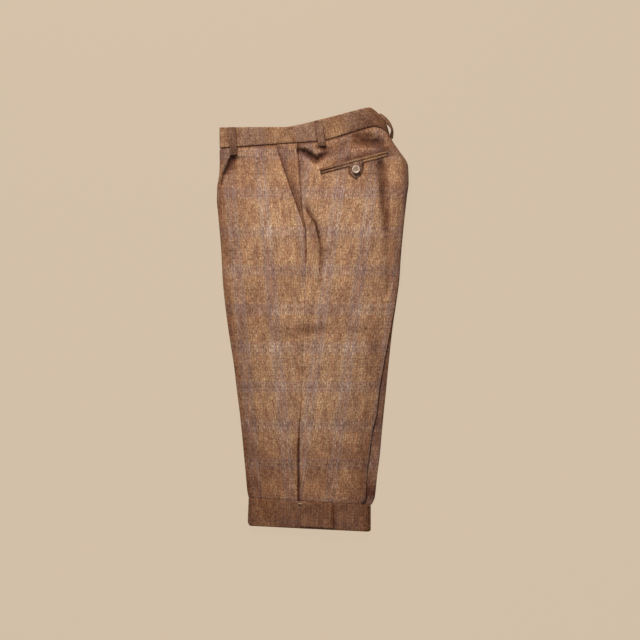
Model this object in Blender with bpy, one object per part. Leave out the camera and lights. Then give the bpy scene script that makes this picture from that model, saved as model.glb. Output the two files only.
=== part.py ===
"""Tweed knee breeches, folded leg on leg along their front creases, left side up.

Frame: +X to the back of the garment, +Y to the waist, +Z up, origin under the middle.
The right leg lies flat on z = 0 and the left leg lies on it. Sizes are in millimetres.
Every piece is cut from one folded surface: a place on it is q, across from front fold
to back fold, s, along the front fold, and h, out from the cloth's outer face.
"""
import math

import bmesh
import bpy
from mathutils import Vector

MM = 0.001

# Driving dimensions
WAIST_S = 364.2          # top of the waistband along the front fold
BAND_SEAM_S = 323.8      # seam under the waistband
KNEE_SEAM_S = -340.0     # seam above the knee band
HEM_S = -393.4           # lower edge of the knee band
CLOTH = 1.6              # tweed
BAND_WALL = 3.6          # waistband: tweed, interlining, tweed
BAND_PROUD = 0.8         # waistband above the panels
CUFF_WALL = 2.1          # knee band
GAP = 0.3                # between sewn pieces
HALF_GAP = 0.5 * GAP
FRONT_TAIL = 14.0        # cloth turned under at the front fold
LEG_BACK_TAIL = 6.0      # cloth of the lower leg that runs on under the upper leg
CUFF_BACK = {"left": 103.6, "right": 110.2}
RIGHT_FRONT_STEP = 1.0

POCKET_TOP_X = -69.4     # slant pocket mouth at the waistband seam
POCKET_SLOPE = 0.352
POCKET_END_S = 169.0
MOUTH_LIFT = 1.9         # front panel over the pocket bearer
MOUTH_LIFT_WIDTH = 13.0
MOUTH_LIFT_FADE = 15.0
BEARER_UNDER = 11.0

VENT_TOP_S = -216.6      # side vent above the knee band
VENT_OPEN = 3.2
VENT_TAPER = 18.0
UNDERLAP_FRONT_X = -46.0
UNDERLAP_BACK_X = -9.0

JET_START = (14.2, 279.3)    # back pocket, from the side seam to the seat
JET_END = (141.6, 313.5)
JET_WIDTH = 5.0
JET_WALL = 1.3
JET_SLOT = 1.0
LAID_GAP = 1.0           # under a flat piece that bridges the panel's facets
TAB_X = 81.7
TAB_TIP_Y = 264.5
TAB_WIDTH = 25.0
TAB_WALL = 1.3
BUTTON_Y = 283.2
BUTTON_FALL = 14.2       # from the pocket's slot down to the button's centre
BUTTON_RADIUS = 7.6
BUTTON_THICK = 3.0
BUTTON_HOLE_RADIUS = 0.9
BUTTON_HOLE_PITCH = 1.75

LOOP_WIDTH = 13.0
LOOP_WALL = 2.0
LOOP_BOW = 1.6
LOOP_SEAT = 0.6
# Centre back loop: x and y of its outer face, and how far its upper edge leans in
BACK_LOOP = ((127.4, 392.2, 2.0), (131.2, 390.3, 3.5), (136.2, 386.9, 5.5),
             (141.3, 382.3, 6.5), (146.5, 376.0, 5.5), (150.3, 368.8, 3.0),
             (153.0, 361.4, 1.4), (153.8, 354.7, 1.2), (153.4, 348.5, 2.2),
             (152.8, 342.4, 2.6))
BACK_LOOP_UP = 3.0          # its middle above the fold's

INNER_BOTTOM_S = -326.0     # hidden layers, from the knee to the waist
INNER_TOP_S = 358.5
INNER_MARGIN = 0.7          # under the upper leg
INNER_LAYERS = 4
INNER_NOSE = 4.0            # round edges of the layers at the waist
INNER_CLEAR = 9.0           # to the back fold
INNER_TAIL_CLEAR = 2.5      # to the cloth turned under at the front fold
INNER_FLAT_END = 0.92       # share of its width before its back edge narrows
INNER_REACH_X = (-24.0, -16.0, -8.0, 0.0, 8.0, 16.0, 24.0)      # folds this near count
INNER_REACH_Y = (-20.0, -10.0, 0.0, 10.0, 20.0)
UNDERLAP_ROOM_X = (36.0, 56.0)      # hollow for the underlap: from its edges, full and none
UNDERLAP_ROOM_S = (50.0, 90.0)

# One row for each section across the folded garment, from the hem to the waist.
# front, seam, back, under: x of the front fold, side seam, upper and lower back folds
# rise, start, crest, drop: how the section lifts towards the back waist
# front_h, back_h, mid_h: height of the pile at its folds and middle
# turn: degrees that the cloth turns round the back fold; tail: cloth beyond the turn
# sag: how far the section falls towards the back
# lead: share of the rise that comes evenly, all the way from the front fold
COLUMNS = ("s", "front", "seam", "back", "under", "rise", "start", "crest", "drop",
           "front_h", "back_h", "mid_h", "turn", "tail", "sag", "lead")
SECTIONS = (
    (-393.4, -120.6, -27.6, 102.0, 108.0, 0.0, -60, 160, 0, 11.5, 11.5, 12.6, 180, 16, 11.4, 0),
    (-386.0, -124.0, -27.6, 103.6, 110.2, 0.0, -60, 160, 0, 11.5, 11.5, 12.9, 180, 16, 11.8, 0),
    (-341.0, -122.6, -27.6, 93.0, 112.0, 0.0, -60, 160, 0, 11.0, 11.0, 13.2, 180, 16, 14.0, 0),
    (-329.0, -124.8, -27.6, 101.0, 117.5, 0.0, -60, 160, 0, 10.8, 10.8, 14.2, 180, 16, 12.8, 0),
    (-289.0, -128.5, -27.6, 102.5, 122.6, 0.0, -60, 160, 0, 10.7, 10.7, 15.8, 180, 16, 8.0, 0),
    (-254.0, -131.8, -27.6, 107.4, 127.6, 0.0, -60, 160, 0, 10.7, 10.7, 16.6, 180, 16, 4.0, 0),
    (-211.0, -136.0, -26.0, 113.4, 131.6, 0.0, -60, 160, 0, 10.7, 10.7, 17.4, 180, 16, 1.5, 0),
    (-182.0, -139.0, -23.5, 121.0, 134.6, 0.0, -60, 160, 0, 10.7, 10.7, 18.0, 180, 16, 0.5, 0),
    (-138.0, -144.5, -21.2, 126.0, 139.2, 0.0, -60, 160, 0, 10.7, 10.7, 18.6, 180, 16, 0, 0),
    (-95.0, -149.6, -19.6, 133.2, 143.3, 0.0, -60, 160, 0, 10.7, 10.7, 19.1, 180, 16, 0, 0),
    (-22.8, -160.6, -17.6, 147.3, 151.0, 0.0, -60, 160, 0, 10.7, 10.8, 20.0, 180, 16, 0, 0),
    (36.0, -168.2, -15.5, 157.8, 159.6, 0.0, -60, 160, 0, 10.7, 11.0, 20.8, 180, 9, 0, 0),
    (74.0, -171.8, -14.3, 164.0, 164.6, 0.0, -60, 160, 0, 10.7, 12.2, 21.2, 174, 0, 0, 0),
    (130.0, -174.6, -12.9, 168.2, 168.2, 0.0, -60, 160, 0, 10.8, 16.0, 22.2, 140, 0, 0, 0),
    (170.0, -177.9, -14.3, 172.0, 172.0, 1.0, -60, 160, 0, 11.0, 19.0, 23.0, 117, 0, 0, 0),
    (200.0, -180.6, -19.5, 175.4, 175.4, 3.0, -60, 160, 0, 11.2, 21.5, 24.0, 102, 0, 0, 0),
    (225.0, -182.9, -21.8, 178.6, 178.6, 7.0, -60, 160, 1, 11.4, 23.6, 24.6, 94, 0, 0, 0),
    (250.0, -182.4, -24.0, 182.0, 182.0, 13.0, -60, 150, 3, 11.8, 25.2, 25.2, 90, 0, 0, 0),
    (275.0, -178.4, -25.6, 180.8, 180.8, 22.0, -60, 140, 7, 12.4, 26.2, 25.8, 90, 0, 0, 0),
    (300.0, -177.4, -27.4, 162.8, 162.8, 32.0, -40, 125, 12, 13.8, 27.2, 26.2, 90, 0, 0, 0.08),
    (312.0, -177.6, -28.0, 152.6, 152.6, 36.5, -10, 118, 14, 15.6, 27.6, 26.2, 90, 0, 0, 0.25),
    (323.8, -177.5, -28.5, 146.3, 146.3, 40.5, 15, 112, 16, 17.4, 28.2, 26.2, 90, 0, 0, 0.46),
    (343.5, -177.6, -29.0, 139.5, 139.5, 38.5, -25, 107, 13, 18.0, 28.6, 25.8, 90, 0, 0, 0.25),
    (364.2, -177.7, -29.0, 124.5, 124.5, 36.5, -50, 102.6, 12, 18.0, 29.0, 25.4, 90, 0, 0, 0),
)

CLIMB_TOP = 1.03            # the climb and the crown of a section, in shares of its rise
CROWN_TOP = 1.033
CREST_BLEND = 0.08
CLIMB_POWER = 1.15
PILE_POWER = 2.6            # how flat the pile is between its folds
CREASE_FADE = 14.0          # creases fade out this far from the folds
CORNER_BACK_TAIL = 16.0     # the sections' full tail
SEARCH_STEPS = 14           # to find the section at a place
SEARCH_PACE = 0.9

# The larger folds of the upper leg. x, y: the two ends; a negative depth is a ridge.
FOLD_BLEND = 4.0            # how sharply the deepest of several folds wins
FOLD_COLUMNS = ("x0", "y0", "x1", "y1", "width", "depth")
FOLDS = (
    (-24, 323, 8, 299, 8, 5.4),       # valley under the side belt loop
    (8, 299, 24, 315, 8, 4.4),
    (-8, 274, 4, 250, 6, 1.6),
    (-10, 209, 10, 162, 8, 4.2),      # long soft fold behind the side seam
    (10, 162, 16, 124, 8, 4.0),
    (16, 124, 12, 60, 9, 2.4),
    (-4, 262, 34, 150, 14, -2.4),
    (86, 338, 130, 336, 10, 4.2),       # hollow under the back waistband
    (141, 318, 145, 300, 8, 2.4),
    (130, 292, 136, 238, 8, 5.0),       # back crease fading up into the seat
    (136, 238, 141, 165, 8, 4.6),
    (141, 165, 145, 50, 9, 2.6),
    (-20, -21, 20, -21, 10, 1.8),       # shallow dents in the thigh and calf
    (-60, -60, -100, -110, 16, -1.4),
    (40, -120, 70, -210, 16, 1.6),
    (-90, 120, -120, 20, 18, 1.4),
    (-156, 308, -170, 277, 4.5, 1.8),   # front pleat, running into the front crease
    (-170, 277, -176, 243, 4.5, 1.5),
    (60, 60, 90, -60, 20, -1.6),
)

# Colours and finishes
MATERIALS = {
    "tweed": ((0.37, 0.21, 0.115), 0.92),
    "tweed_band": ((0.33, 0.185, 0.10), 0.92),
    "tweed_inside": ((0.24, 0.135, 0.075), 0.95),
    "horn": ((0.52, 0.40, 0.27), 0.35),
}


def smooth(value, low, high):
    """Go softly from 0 at low to 1 at high."""
    t = min(max((value - low) / (high - low), 0.0), 1.0)
    return t * t * (3.0 - 2.0 * t)


def softer_min(a, b, blend):
    return 0.5 * (a + b - math.sqrt((a - b) ** 2 + blend ** 2))


def section(s):
    """Read the table of sections at s, on a smooth curve through its rows."""
    rows = SECTIONS
    s = min(max(s, rows[0][0]), rows[-1][0])
    i = 0
    while i < len(rows) - 2 and s > rows[i + 1][0]:
        i += 1
    low, high = rows[i], rows[i + 1]
    before = rows[max(i - 1, 0)]
    after = rows[min(i + 2, len(rows) - 1)]
    span = high[0] - low[0]
    t = (s - low[0]) / span
    values = {"s": s}
    for k in range(1, len(COLUMNS)):
        slope = (high[k] - low[k]) / span
        slope_low = limited(slope, low, before, k)
        slope_high = limited(slope, after, high, k)
        values[COLUMNS[k]] = (low[k] * (1 + 2 * t) * (1 - t) ** 2
                              + high[k] * t * t * (3 - 2 * t)
                              + span * slope_low * t * (1 - t) ** 2
                              - span * slope_high * t * t * (1 - t))
    return values


def limited(slope, one, other, k):
    """Slope of a monotone curve where a span of this slope meets its neighbour."""
    if one[0] == other[0]:
        return slope
    beside = (one[k] - other[k]) / (one[0] - other[0])
    if slope * beside <= 0.0:
        return 0.0
    return 2.0 * slope * beside / (slope + beside)


def place_y(x, row):
    """Height up the garment of a place at x on one section."""
    t = max((x - row["start"]) / (row["crest"] - row["start"]), 0.0)
    past = max((x - row["crest"]) / max(row["back"] - row["crest"], 1.0), 0.0)
    even = (x - row["front"]) / (row["crest"] - row["front"])
    share = row["lead"] * even + (1.0 - row["lead"]) * t ** CLIMB_POWER
    climb = row["rise"] * CLIMB_TOP * share
    crown = row["rise"] * CROWN_TOP - row["drop"] * past ** 2
    across = (x - row["front"]) / (row["under"] - row["front"])
    lift = softer_min(climb, crown, CREST_BLEND * row["rise"])
    return row["s"] + lift - row["sag"] * across


def s_at(x, y):
    """The section that passes through a place seen from above."""
    s = y
    for _ in range(SEARCH_STEPS):
        s += SEARCH_PACE * (y - place_y(x, section(s)))
        s = min(max(s, HEM_S), WAIST_S)
    return s


def folds(x, y):
    """Height that the folds add at a place: where several meet, the deepest one counts."""
    valleys, ridges = 0.0, 0.0
    for x0, y0, x1, y1, width, depth in FOLDS:
        along_x, along_y = x1 - x0, y1 - y0
        length = math.hypot(along_x, along_y)
        t = ((x - x0) * along_x + (y - y0) * along_y) / length ** 2
        nearest = min(max(t, 0.0), 1.0)
        off = math.hypot(x - x0 - nearest * along_x, y - y0 - nearest * along_y)
        size = (abs(depth) * math.exp(-(off / width) ** 2)) ** FOLD_BLEND
        if depth > 0:
            valleys += size
        else:
            ridges += size
    return ridges ** (1.0 / FOLD_BLEND) - valleys ** (1.0 / FOLD_BLEND)


def wraps(side, row):
    """Edges, radii and lengths of the turned cloth at the front and back folds."""
    front = row["front"] + (RIGHT_FRONT_STEP if side == "right" else 0.0)
    back = row["back"] if side == "left" else row["under"]
    front_r = 0.5 * (0.5 * row["front_h"] - HALF_GAP)
    turn = math.radians(row["turn"])
    back_r = (0.5 * row["back_h"] - HALF_GAP) / (1.0 - math.cos(turn))
    tail = row["tail"]
    if side == "right":
        tail += (row["under"] - row["back"]) + LEG_BACK_TAIL * min(row["tail"] / CORNER_BACK_TAIL, 1.0)
    return front, back, front_r, back_r, turn, tail


def flat_ends(side, s):
    """x where the flat of the cloth begins and ends on a section."""
    row = section(s)
    front, back, front_r, back_r, turn, tail = wraps(side, row)
    return front + front_r, back - back_r


def crown_height(x, row, begin, end):
    """Height of the upper leg between its two folds, before the creases."""
    u = (x - begin) / (end - begin)
    level = row["front_h"] + (row["back_h"] - row["front_h"]) * u
    crown = row["mid_h"] - 0.5 * (row["front_h"] + row["back_h"])
    return level + crown * (1.0 - abs(2.0 * u - 1.0) ** PILE_POWER)


def creases(x, y, begin, end):
    """The folds, fading out before the cloth turns under."""
    window = smooth(x, begin, begin + CREASE_FADE) * (1.0 - smooth(x, end - CREASE_FADE, end))
    return window * folds(x, y)


def pile_height(x, y, row, begin, end):
    return crown_height(x, row, begin, end) + creases(x, y, begin, end)


def turned(distance, radius, angle):
    """Offset in and down after a distance round a turn and along its tail."""
    if distance <= radius * angle:
        a = distance / radius
        return radius * math.sin(a), radius * (1.0 - math.cos(a))
    extra = distance - radius * angle
    return (radius * math.sin(angle) + extra * math.cos(angle),
            radius * (1.0 - math.cos(angle)) + extra * math.sin(angle))


def base(side, q, s):
    """A point of the cloth's outer face: q is 0 to 1 on the flat, beyond it on the folds."""
    row = section(s)
    front, back, front_r, back_r, turn, tail = wraps(side, row)
    begin, end = front + front_r, back - back_r
    if q < 0.0:
        out, down = turned(-q * (front_r * math.pi + FRONT_TAIL), front_r, math.pi)
        x = begin - out
        z = row["front_h"] - down
    elif q > 1.0:
        out, down = turned((q - 1.0) * (back_r * turn + tail), back_r, turn)
        x = end + out
        z = row["back_h"] - down
    else:
        x = begin + (end - begin) * q
        z = None
    y = place_y(x, row)
    if z is None:
        z = pile_height(x, y, row, begin, end) if side == "left" else 0.0
    elif side == "right":
        z = row["front_h" if q < 0.0 else "back_h"] - z
    return Vector((x, y, z))


def cloth(side, q, s, h):
    """A point h out from the cloth's outer face."""
    dq, ds = 0.004, 0.6
    q0, q1 = max(q - dq, -1.0), min(q + dq, 2.0)
    s0, s1 = max(s - ds, HEM_S), min(s + ds, WAIST_S)
    across = base(side, q1, s) - base(side, q0, s)
    along = base(side, q, s1) - base(side, q, s0)
    normal = across.cross(along).normalized()
    if side == "right":
        normal = -normal
    return base(side, q, s) + normal * h


def q_of(side, x, s):
    begin, end = flat_ends(side, s)
    return (x - begin) / (end - begin)


def on_leg(x, y, h):
    """A point h out from the upper leg over a place seen from above."""
    s = s_at(x, y)
    return cloth("left", q_of("left", x, s), s, h)


def steps(start, stop, count):
    return [start + (stop - start) * i / count for i in range(count + 1)]


def material(name):
    existing = bpy.data.materials.get(name)
    if existing:
        return existing
    colour, rough = MATERIALS[name]
    made = bpy.data.materials.new(name)
    made.use_nodes = True
    shader = made.node_tree.nodes["Principled BSDF"]
    shader.inputs["Base Color"].default_value = (*colour, 1.0)
    shader.inputs["Roughness"].default_value = rough
    shader.inputs["Metallic"].default_value = 0.0
    return made


def make_object(name, points, faces, finish):
    """One closed body from points in millimetres."""
    mesh = bpy.data.meshes.new(name)
    mesh.from_pydata([Vector(p) * MM for p in points], [], faces)
    work = bmesh.new()
    work.from_mesh(mesh)
    bmesh.ops.recalc_face_normals(work, faces=work.faces)
    if work.calc_volume(signed=True) < 0.0:
        bmesh.ops.reverse_faces(work, faces=work.faces)
    work.to_mesh(mesh)
    work.free()
    mesh.shade_smooth()
    mesh.set_sharp_from_angle(angle=math.radians(50))
    mesh.materials.append(material(finish))
    made = bpy.data.objects.new(name, mesh)
    bpy.context.scene.collection.objects.link(made)
    return made


def slab(name, outer, inner, finish):
    """A wall between two grids of points, closed round its rim."""
    rows, columns = len(outer), len(outer[0])
    points = [p for line in outer for p in line] + [p for line in inner for p in line]
    faces = []

    def at(layer, i, j):
        return (layer * rows + i) * columns + j

    for i in range(rows - 1):
        for j in range(columns - 1):
            faces.append((at(0, i, j), at(0, i, j + 1), at(0, i + 1, j + 1), at(0, i + 1, j)))
            faces.append((at(1, i, j), at(1, i + 1, j), at(1, i + 1, j + 1), at(1, i, j + 1)))
    rim = [(0, j) for j in range(columns)] + [(i, columns - 1) for i in range(1, rows)]
    rim += [(rows - 1, j) for j in range(columns - 2, -1, -1)]
    rim += [(i, 0) for i in range(rows - 2, 0, -1)]
    for k, (i, j) in enumerate(rim):
        n, m = rim[(k + 1) % len(rim)]
        faces.append((at(0, i, j), at(1, i, j), at(1, n, m), at(0, n, m)))
    return make_object(name, points, faces, finish)


WRAP_STEPS = (0.0, 0.085, 0.17, 0.255, 0.34, 0.56, 0.78, 1.0)
PANEL_ROWS = steps(BAND_SEAM_S - HALF_GAP, 60.0, 22) + steps(60.0, KNEE_SEAM_S + HALF_GAP, 19)[1:]
RIGHT_ROWS = steps(BAND_SEAM_S - HALF_GAP, 60.0, 13) + steps(60.0, KNEE_SEAM_S + HALF_GAP, 9)[1:]


def vent_half_gap(s):
    """Half of the space between front and back along the side seam."""
    opened = smooth(VENT_TOP_S - s, 0.0, VENT_TAPER)
    return HALF_GAP + (0.5 * VENT_OPEN - HALF_GAP) * opened


def mouth_x(s):
    return POCKET_TOP_X + POCKET_SLOPE * (BAND_SEAM_S - s)


def front_edge_x(s):
    """Rear edge of the front panel: pocket mouth above, side seam below."""
    seam = section(s)["seam"] - vent_half_gap(s)
    return min(mouth_x(s), seam) if s > POCKET_END_S - 12.0 else seam


def front_lift(x, s):
    """How far the front panel stands up over the pocket bearer."""
    away = mouth_x(s) - x
    near = 1.0 - smooth(away, MOUTH_LIFT_WIDTH, MOUTH_LIFT_WIDTH + MOUTH_LIFT_FADE)
    return MOUTH_LIFT * near * smooth(s, POCKET_END_S - 32.0, POCKET_END_S - 8.0)


def front_line(s):
    """q of the left front panel's columns on one section."""
    edge_q = q_of("left", front_edge_x(s), s)
    return [-w for w in reversed(WRAP_STEPS)] + steps(0.0, edge_q, 11)[1:]


def back_line(s):
    edge_q = q_of("left", section(s)["seam"] + vent_half_gap(s), s)
    return steps(edge_q, 1.0, 16) + [1.0 + w for w in WRAP_STEPS[1:]]


def bearer_line(s):
    seam = section(s)["seam"] - HALF_GAP
    start = min(mouth_x(s) - BEARER_UNDER, seam - 4.0)
    return [q_of("left", x, s) for x in steps(start, seam, 6)]


def right_line(s, is_front):
    seam = section(s)["seam"]
    if is_front:
        edge_q = q_of("right", seam - HALF_GAP, s)
        return [-w for w in reversed(WRAP_STEPS)] + steps(0.0, edge_q, 4)[1:]
    edge_q = q_of("right", seam + HALF_GAP, s)
    return steps(edge_q, 1.0, 5) + [1.0 + w for w in WRAP_STEPS[1:]]


def band_line(side):
    """q of the waistband's columns, the same as those of the panels below it."""
    s = BAND_SEAM_S
    if side == "right":
        return right_line(s, True) + right_line(s, False)[1:]
    mouth = q_of("left", mouth_x(s), s)
    shown = [q for q in bearer_line(s)[:-1] if q > mouth + 0.01]
    return front_line(s) + shown + back_line(s)


def left_front_panel():
    outer, inner = [], []
    for s in PANEL_ROWS:
        line = front_line(s)
        begin, end = flat_ends("left", s)
        lifts = [front_lift(begin + (end - begin) * max(q, 0.0), s) for q in line]
        outer.append([cloth("left", q, s, up) for q, up in zip(line, lifts)])
        inner.append([cloth("left", q, s, up - CLOTH) for q, up in zip(line, lifts)])
    return slab("left_front_panel", outer, inner, "tweed")


def left_back_panel():
    outer, inner = [], []
    for s in PANEL_ROWS:
        line = back_line(s)
        outer.append([cloth("left", q, s, 0.0) for q in line])
        inner.append([cloth("left", q, s, -CLOTH) for q in line])
    return slab("left_back_panel", outer, inner, "tweed")


def right_panel(name, is_front):
    outer, inner = [], []
    for s in RIGHT_ROWS:
        line = right_line(s, is_front)
        outer.append([cloth("right", q, s, 0.0) for q in line])
        inner.append([cloth("right", q, s, -CLOTH) for q in line])
    return slab(name, outer, inner, "tweed")


def left_pocket_bearer():
    """The cloth that shows behind the slant pocket's mouth."""
    outer, inner = [], []
    for s in steps(BAND_SEAM_S - HALF_GAP, POCKET_END_S + 2.0, 12):
        line = bearer_line(s)
        outer.append([cloth("left", q, s, 0.0) for q in line])
        inner.append([cloth("left", q, s, -CLOTH) for q in line])
    return slab("left_pocket_bearer", outer, inner, "tweed")


def left_vent_underlap():
    outer, inner = [], []
    depth = CLOTH + GAP
    for s in steps(VENT_TOP_S + 9.0, KNEE_SEAM_S + HALF_GAP, 7):
        line = [q_of("left", x, s) for x in steps(UNDERLAP_FRONT_X, UNDERLAP_BACK_X, 4)]
        outer.append([cloth("left", q, s, -depth) for q in line])
        inner.append([cloth("left", q, s, -depth - CLOTH) for q in line])
    return slab("left_vent_underlap", outer, inner, "tweed")


def waistband(side):
    line = band_line(side)
    outer, inner = [], []
    for s in steps(WAIST_S, BAND_SEAM_S + HALF_GAP, 3):
        proud = []
        for q in line:
            window = smooth(q, 0.0, 0.06) * (1.0 - smooth(q, 0.94, 1.0))
            proud.append(BAND_PROUD * window if side == "left" else 0.0)
        outer.append([cloth(side, q, s, up) for q, up in zip(line, proud)])
        inner.append([cloth(side, q, s, -BAND_WALL) for q in line])
    return slab(side + "_waistband", outer, inner, "tweed_band")


def cuff_loop(side, s, wall):
    """Outline of a flattened knee band on one section, its wall's thickness in."""
    row = section(s)
    middle = 0.5 * row["front_h"]
    low, high = (middle + HALF_GAP, None) if side == "left" else (0.0, middle - HALF_GAP)
    corner = row["front"] - section(KNEE_SEAM_S)["front"]
    front = row["front"] + (RIGHT_FRONT_STEP if side == "right" else 0.0)
    back = CUFF_BACK[side] - max(corner, 0.0) * 0.8
    radius = 0.5 * (middle - HALF_GAP)
    begin, end = front + radius, back - radius
    tops = []
    for x in steps(begin, end, 10):
        y = place_y(x, row)
        top = pile_height(x, y, row, begin, end) if side == "left" else high
        tops.append((x, top - wall))
    points = list(tops)
    inner_r = radius - wall
    for centre, sign, angles in ((end, 1.0, (60, 90, 120)), (begin, -1.0, (120, 90, 60))):
        for angle in angles:
            a = math.radians(angle)
            points.append((centre + sign * inner_r * math.sin(a),
                           low + radius + inner_r * math.cos(a)))
        if sign > 0:
            points += [(x, low + wall) for x in steps(end, begin, 10)]
    return [Vector((x, place_y(x, row), z)) for x, z in points]


def knee_band(side):
    """A flattened tube: rings of points outside and inside."""
    levels = (KNEE_SEAM_S - HALF_GAP, -358.0, -376.0, -386.0, HEM_S)
    outside = [cuff_loop(side, s, 0.0) for s in levels]
    inside = [cuff_loop(side, s, CUFF_WALL) for s in levels]
    count = len(outside[0])
    points = [p for ring in outside + inside for p in ring]
    faces = []
    for i in range(len(levels) - 1):
        for j in range(count):
            n = (j + 1) % count
            for layer in (0, len(levels)):
                a, b = (layer + i) * count, (layer + i + 1) * count
                faces.append((a + j, a + n, b + n, b + j))
    for i in (0, len(levels) - 1):
        for j in range(count):
            n = (j + 1) % count
            a, b = i * count, (len(levels) + i) * count
            faces.append((a + j, a + n, b + n, b + j))
    return make_object(side + "_knee_band", points, faces, "tweed_band")


def knee_tab():
    """Overlapping end of the left knee band, from the vent forwards to the back."""
    outer, inner = [], []
    for s in steps(KNEE_SEAM_S - 3.0, HEM_S + 3.0, 4):
        row = section(s)
        line = [Vector((x, place_y(x, row), cuff_top(x, s))) for x in steps(-24.0, 38.5, 6)]
        outer.append([p + Vector((0.0, 0.0, GAP + CUFF_WALL)) for p in line])
        inner.append([p + Vector((0.0, 0.0, GAP)) for p in line])
    return slab("knee_tab", outer, inner, "tweed_band")


def cuff_top(x, s):
    row = section(s)
    radius = 0.5 * (0.5 * row["front_h"] - HALF_GAP)
    corner = max(row["front"] - section(KNEE_SEAM_S)["front"], 0.0)
    end = CUFF_BACK["left"] - 0.8 * corner - radius
    return pile_height(x, place_y(x, row), row, row["front"] + radius, end)


def belt_loop(name, top, bottom):
    """A strap down the waistband and a little way on to the panel."""
    outer, inner = [], []
    for t in steps(0.0, 1.0, 9):
        x = top[0] + (bottom[0] - top[0]) * t
        y = top[1] + (bottom[1] - top[1]) * t
        on_band = smooth(s_at(x, y), BAND_SEAM_S - 5.0, BAND_SEAM_S)
        lift = LOOP_SEAT + BAND_PROUD * on_band + LOOP_BOW * math.sin(math.pi * t) ** 2
        sides = [x + LOOP_WIDTH * k for k in (-0.5, -0.17, 0.17, 0.5)]
        outer.append([on_leg(side, y, lift + LOOP_WALL) for side in sides])
        inner.append([on_leg(side, y, lift) for side in sides])
    return slab(name, outer, inner, "tweed_band")


def back_belt_loop():
    """The loop at the centre back hugs the fold at its ends and stands off between them."""
    middle = 0.5 * section(BAND_SEAM_S)["back_h"] + BACK_LOOP_UP
    outer, inner = [], []
    for i, (x, y, lean) in enumerate(BACK_LOOP):
        before, after = BACK_LOOP[max(i - 1, 0)], BACK_LOOP[min(i + 1, len(BACK_LOOP) - 1)]
        along = Vector((after[0] - before[0], after[1] - before[1], 0.0)).normalized()
        inward = Vector((along.y, -along.x, 0.0))
        face = []
        for level in steps(-0.5 * LOOP_WIDTH, 0.5 * LOOP_WIDTH, 4):
            up = level / LOOP_WIDTH + 0.5
            face.append(Vector((x, y, middle + level)) + inward * lean * up ** 1.3)
        outer.append(face)
        inner.append([p + inward * LOOP_WALL for p in face])
    return slab("back_belt_loop", outer, inner, "tweed_band")


def pocket_frame():
    """Start, direction and cross direction of the back pocket."""
    start, end = Vector(JET_START), Vector(JET_END)
    along = (end - start).normalized()
    return start, along, Vector((-along.y, along.x)), (end - start).length


def pocket_jet(name, sign):
    start, along, cross, length = pocket_frame()
    outer, inner = [], []
    for d in steps(0.0, length, 18):
        edges = [sign * (0.5 * JET_SLOT + JET_WIDTH * k) for k in (0.0, 0.5, 1.0)]
        places = [start + along * d + cross * e for e in edges]
        outer.append([on_leg(p.x, p.y, LAID_GAP + JET_WALL) for p in places])
        inner.append([on_leg(p.x, p.y, LAID_GAP) for p in places])
    return slab(name, outer, inner, "tweed")


def tab_lift(y_below):
    """Height of the tab's inner face: over the lower jet, then down to the panel."""
    over_jet = 1.0 - smooth(y_below, JET_WIDTH + 2.0, JET_WIDTH + 10.0)
    return LAID_GAP + (JET_WALL + GAP) * over_jet


def pocket_tab():
    """Pointed tab from the pocket's slot down over the lower jet."""
    start, along, _, _ = pocket_frame()
    slot_y = start.y + along.y * (TAB_X - start.x) / along.x
    fall = slot_y - TAB_TIP_Y
    outer, inner = [], []
    for t in (0.0, 0.2, 0.4, 0.6, 0.72, 0.82, 0.91, 1.0):
        half = 0.5 * TAB_WIDTH * min(1.0, max((1.0 - t) / 0.4, 0.06) ** 0.85)
        line = steps(TAB_X - half, TAB_X + half, 4)
        slope = along.y / along.x * (1.0 - t)
        places = [(x, slot_y - fall * t + slope * (x - TAB_X)) for x in line]
        lift = tab_lift(fall * t)
        outer.append([on_leg(x, y, lift + TAB_WALL) for x, y in places])
        inner.append([on_leg(x, y, lift) for x, y in places])
    return slab("pocket_tab", outer, inner, "tweed_band")


def pocket_button():
    """Four-hole horn button, dished inside its rim."""
    profile = ((0.0, 0.0), (0.82, 0.0), (1.0, 0.3), (1.0, 0.62), (0.93, 0.95), (0.8, 1.0),
               (0.68, 0.86), (0.58, 0.62), (0.0, 0.58))
    work = bmesh.new()
    rings = []
    count = 24
    for r, z in profile:
        if r == 0.0:
            rings.append([work.verts.new((0.0, 0.0, z * BUTTON_THICK * MM))])
            continue
        ring = []
        for k in range(count):
            a = 2.0 * math.pi * k / count
            spot = (r * BUTTON_RADIUS * math.cos(a), r * BUTTON_RADIUS * math.sin(a),
                    z * BUTTON_THICK)
            ring.append(work.verts.new(Vector(spot) * MM))
        rings.append(ring)
    for lower, upper in zip(rings, rings[1:]):
        for k in range(count):
            n = (k + 1) % count
            corners = [lower[k % len(lower)], lower[n % len(lower)],
                       upper[n % len(upper)], upper[k % len(upper)]]
            work.faces.new(list(dict.fromkeys(corners)))
    bmesh.ops.recalc_face_normals(work, faces=work.faces)
    mesh = bpy.data.meshes.new("pocket_button")
    work.to_mesh(mesh)
    work.free()
    mesh.shade_smooth()
    mesh.set_sharp_from_angle(angle=math.radians(50))
    mesh.materials.append(material("horn"))
    button = bpy.data.objects.new("pocket_button", mesh)
    bpy.context.scene.collection.objects.link(button)
    foot = on_leg(TAB_X, BUTTON_Y, tab_lift(BUTTON_FALL - BUTTON_RADIUS) + TAB_WALL)
    out = (on_leg(TAB_X, BUTTON_Y, 10.0) - on_leg(TAB_X, BUTTON_Y, 0.0)).normalized()
    turn = out.to_track_quat("Z", "Y")
    button.rotation_mode = "QUATERNION"
    button.rotation_quaternion = turn
    button.location = (foot + out * GAP) * MM
    cutter = hole_cutter()
    cutter.parent = button
    cut = button.modifiers.new("holes", "BOOLEAN")
    cut.operation = "DIFFERENCE"
    cut.object = cutter
    return button


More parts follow.
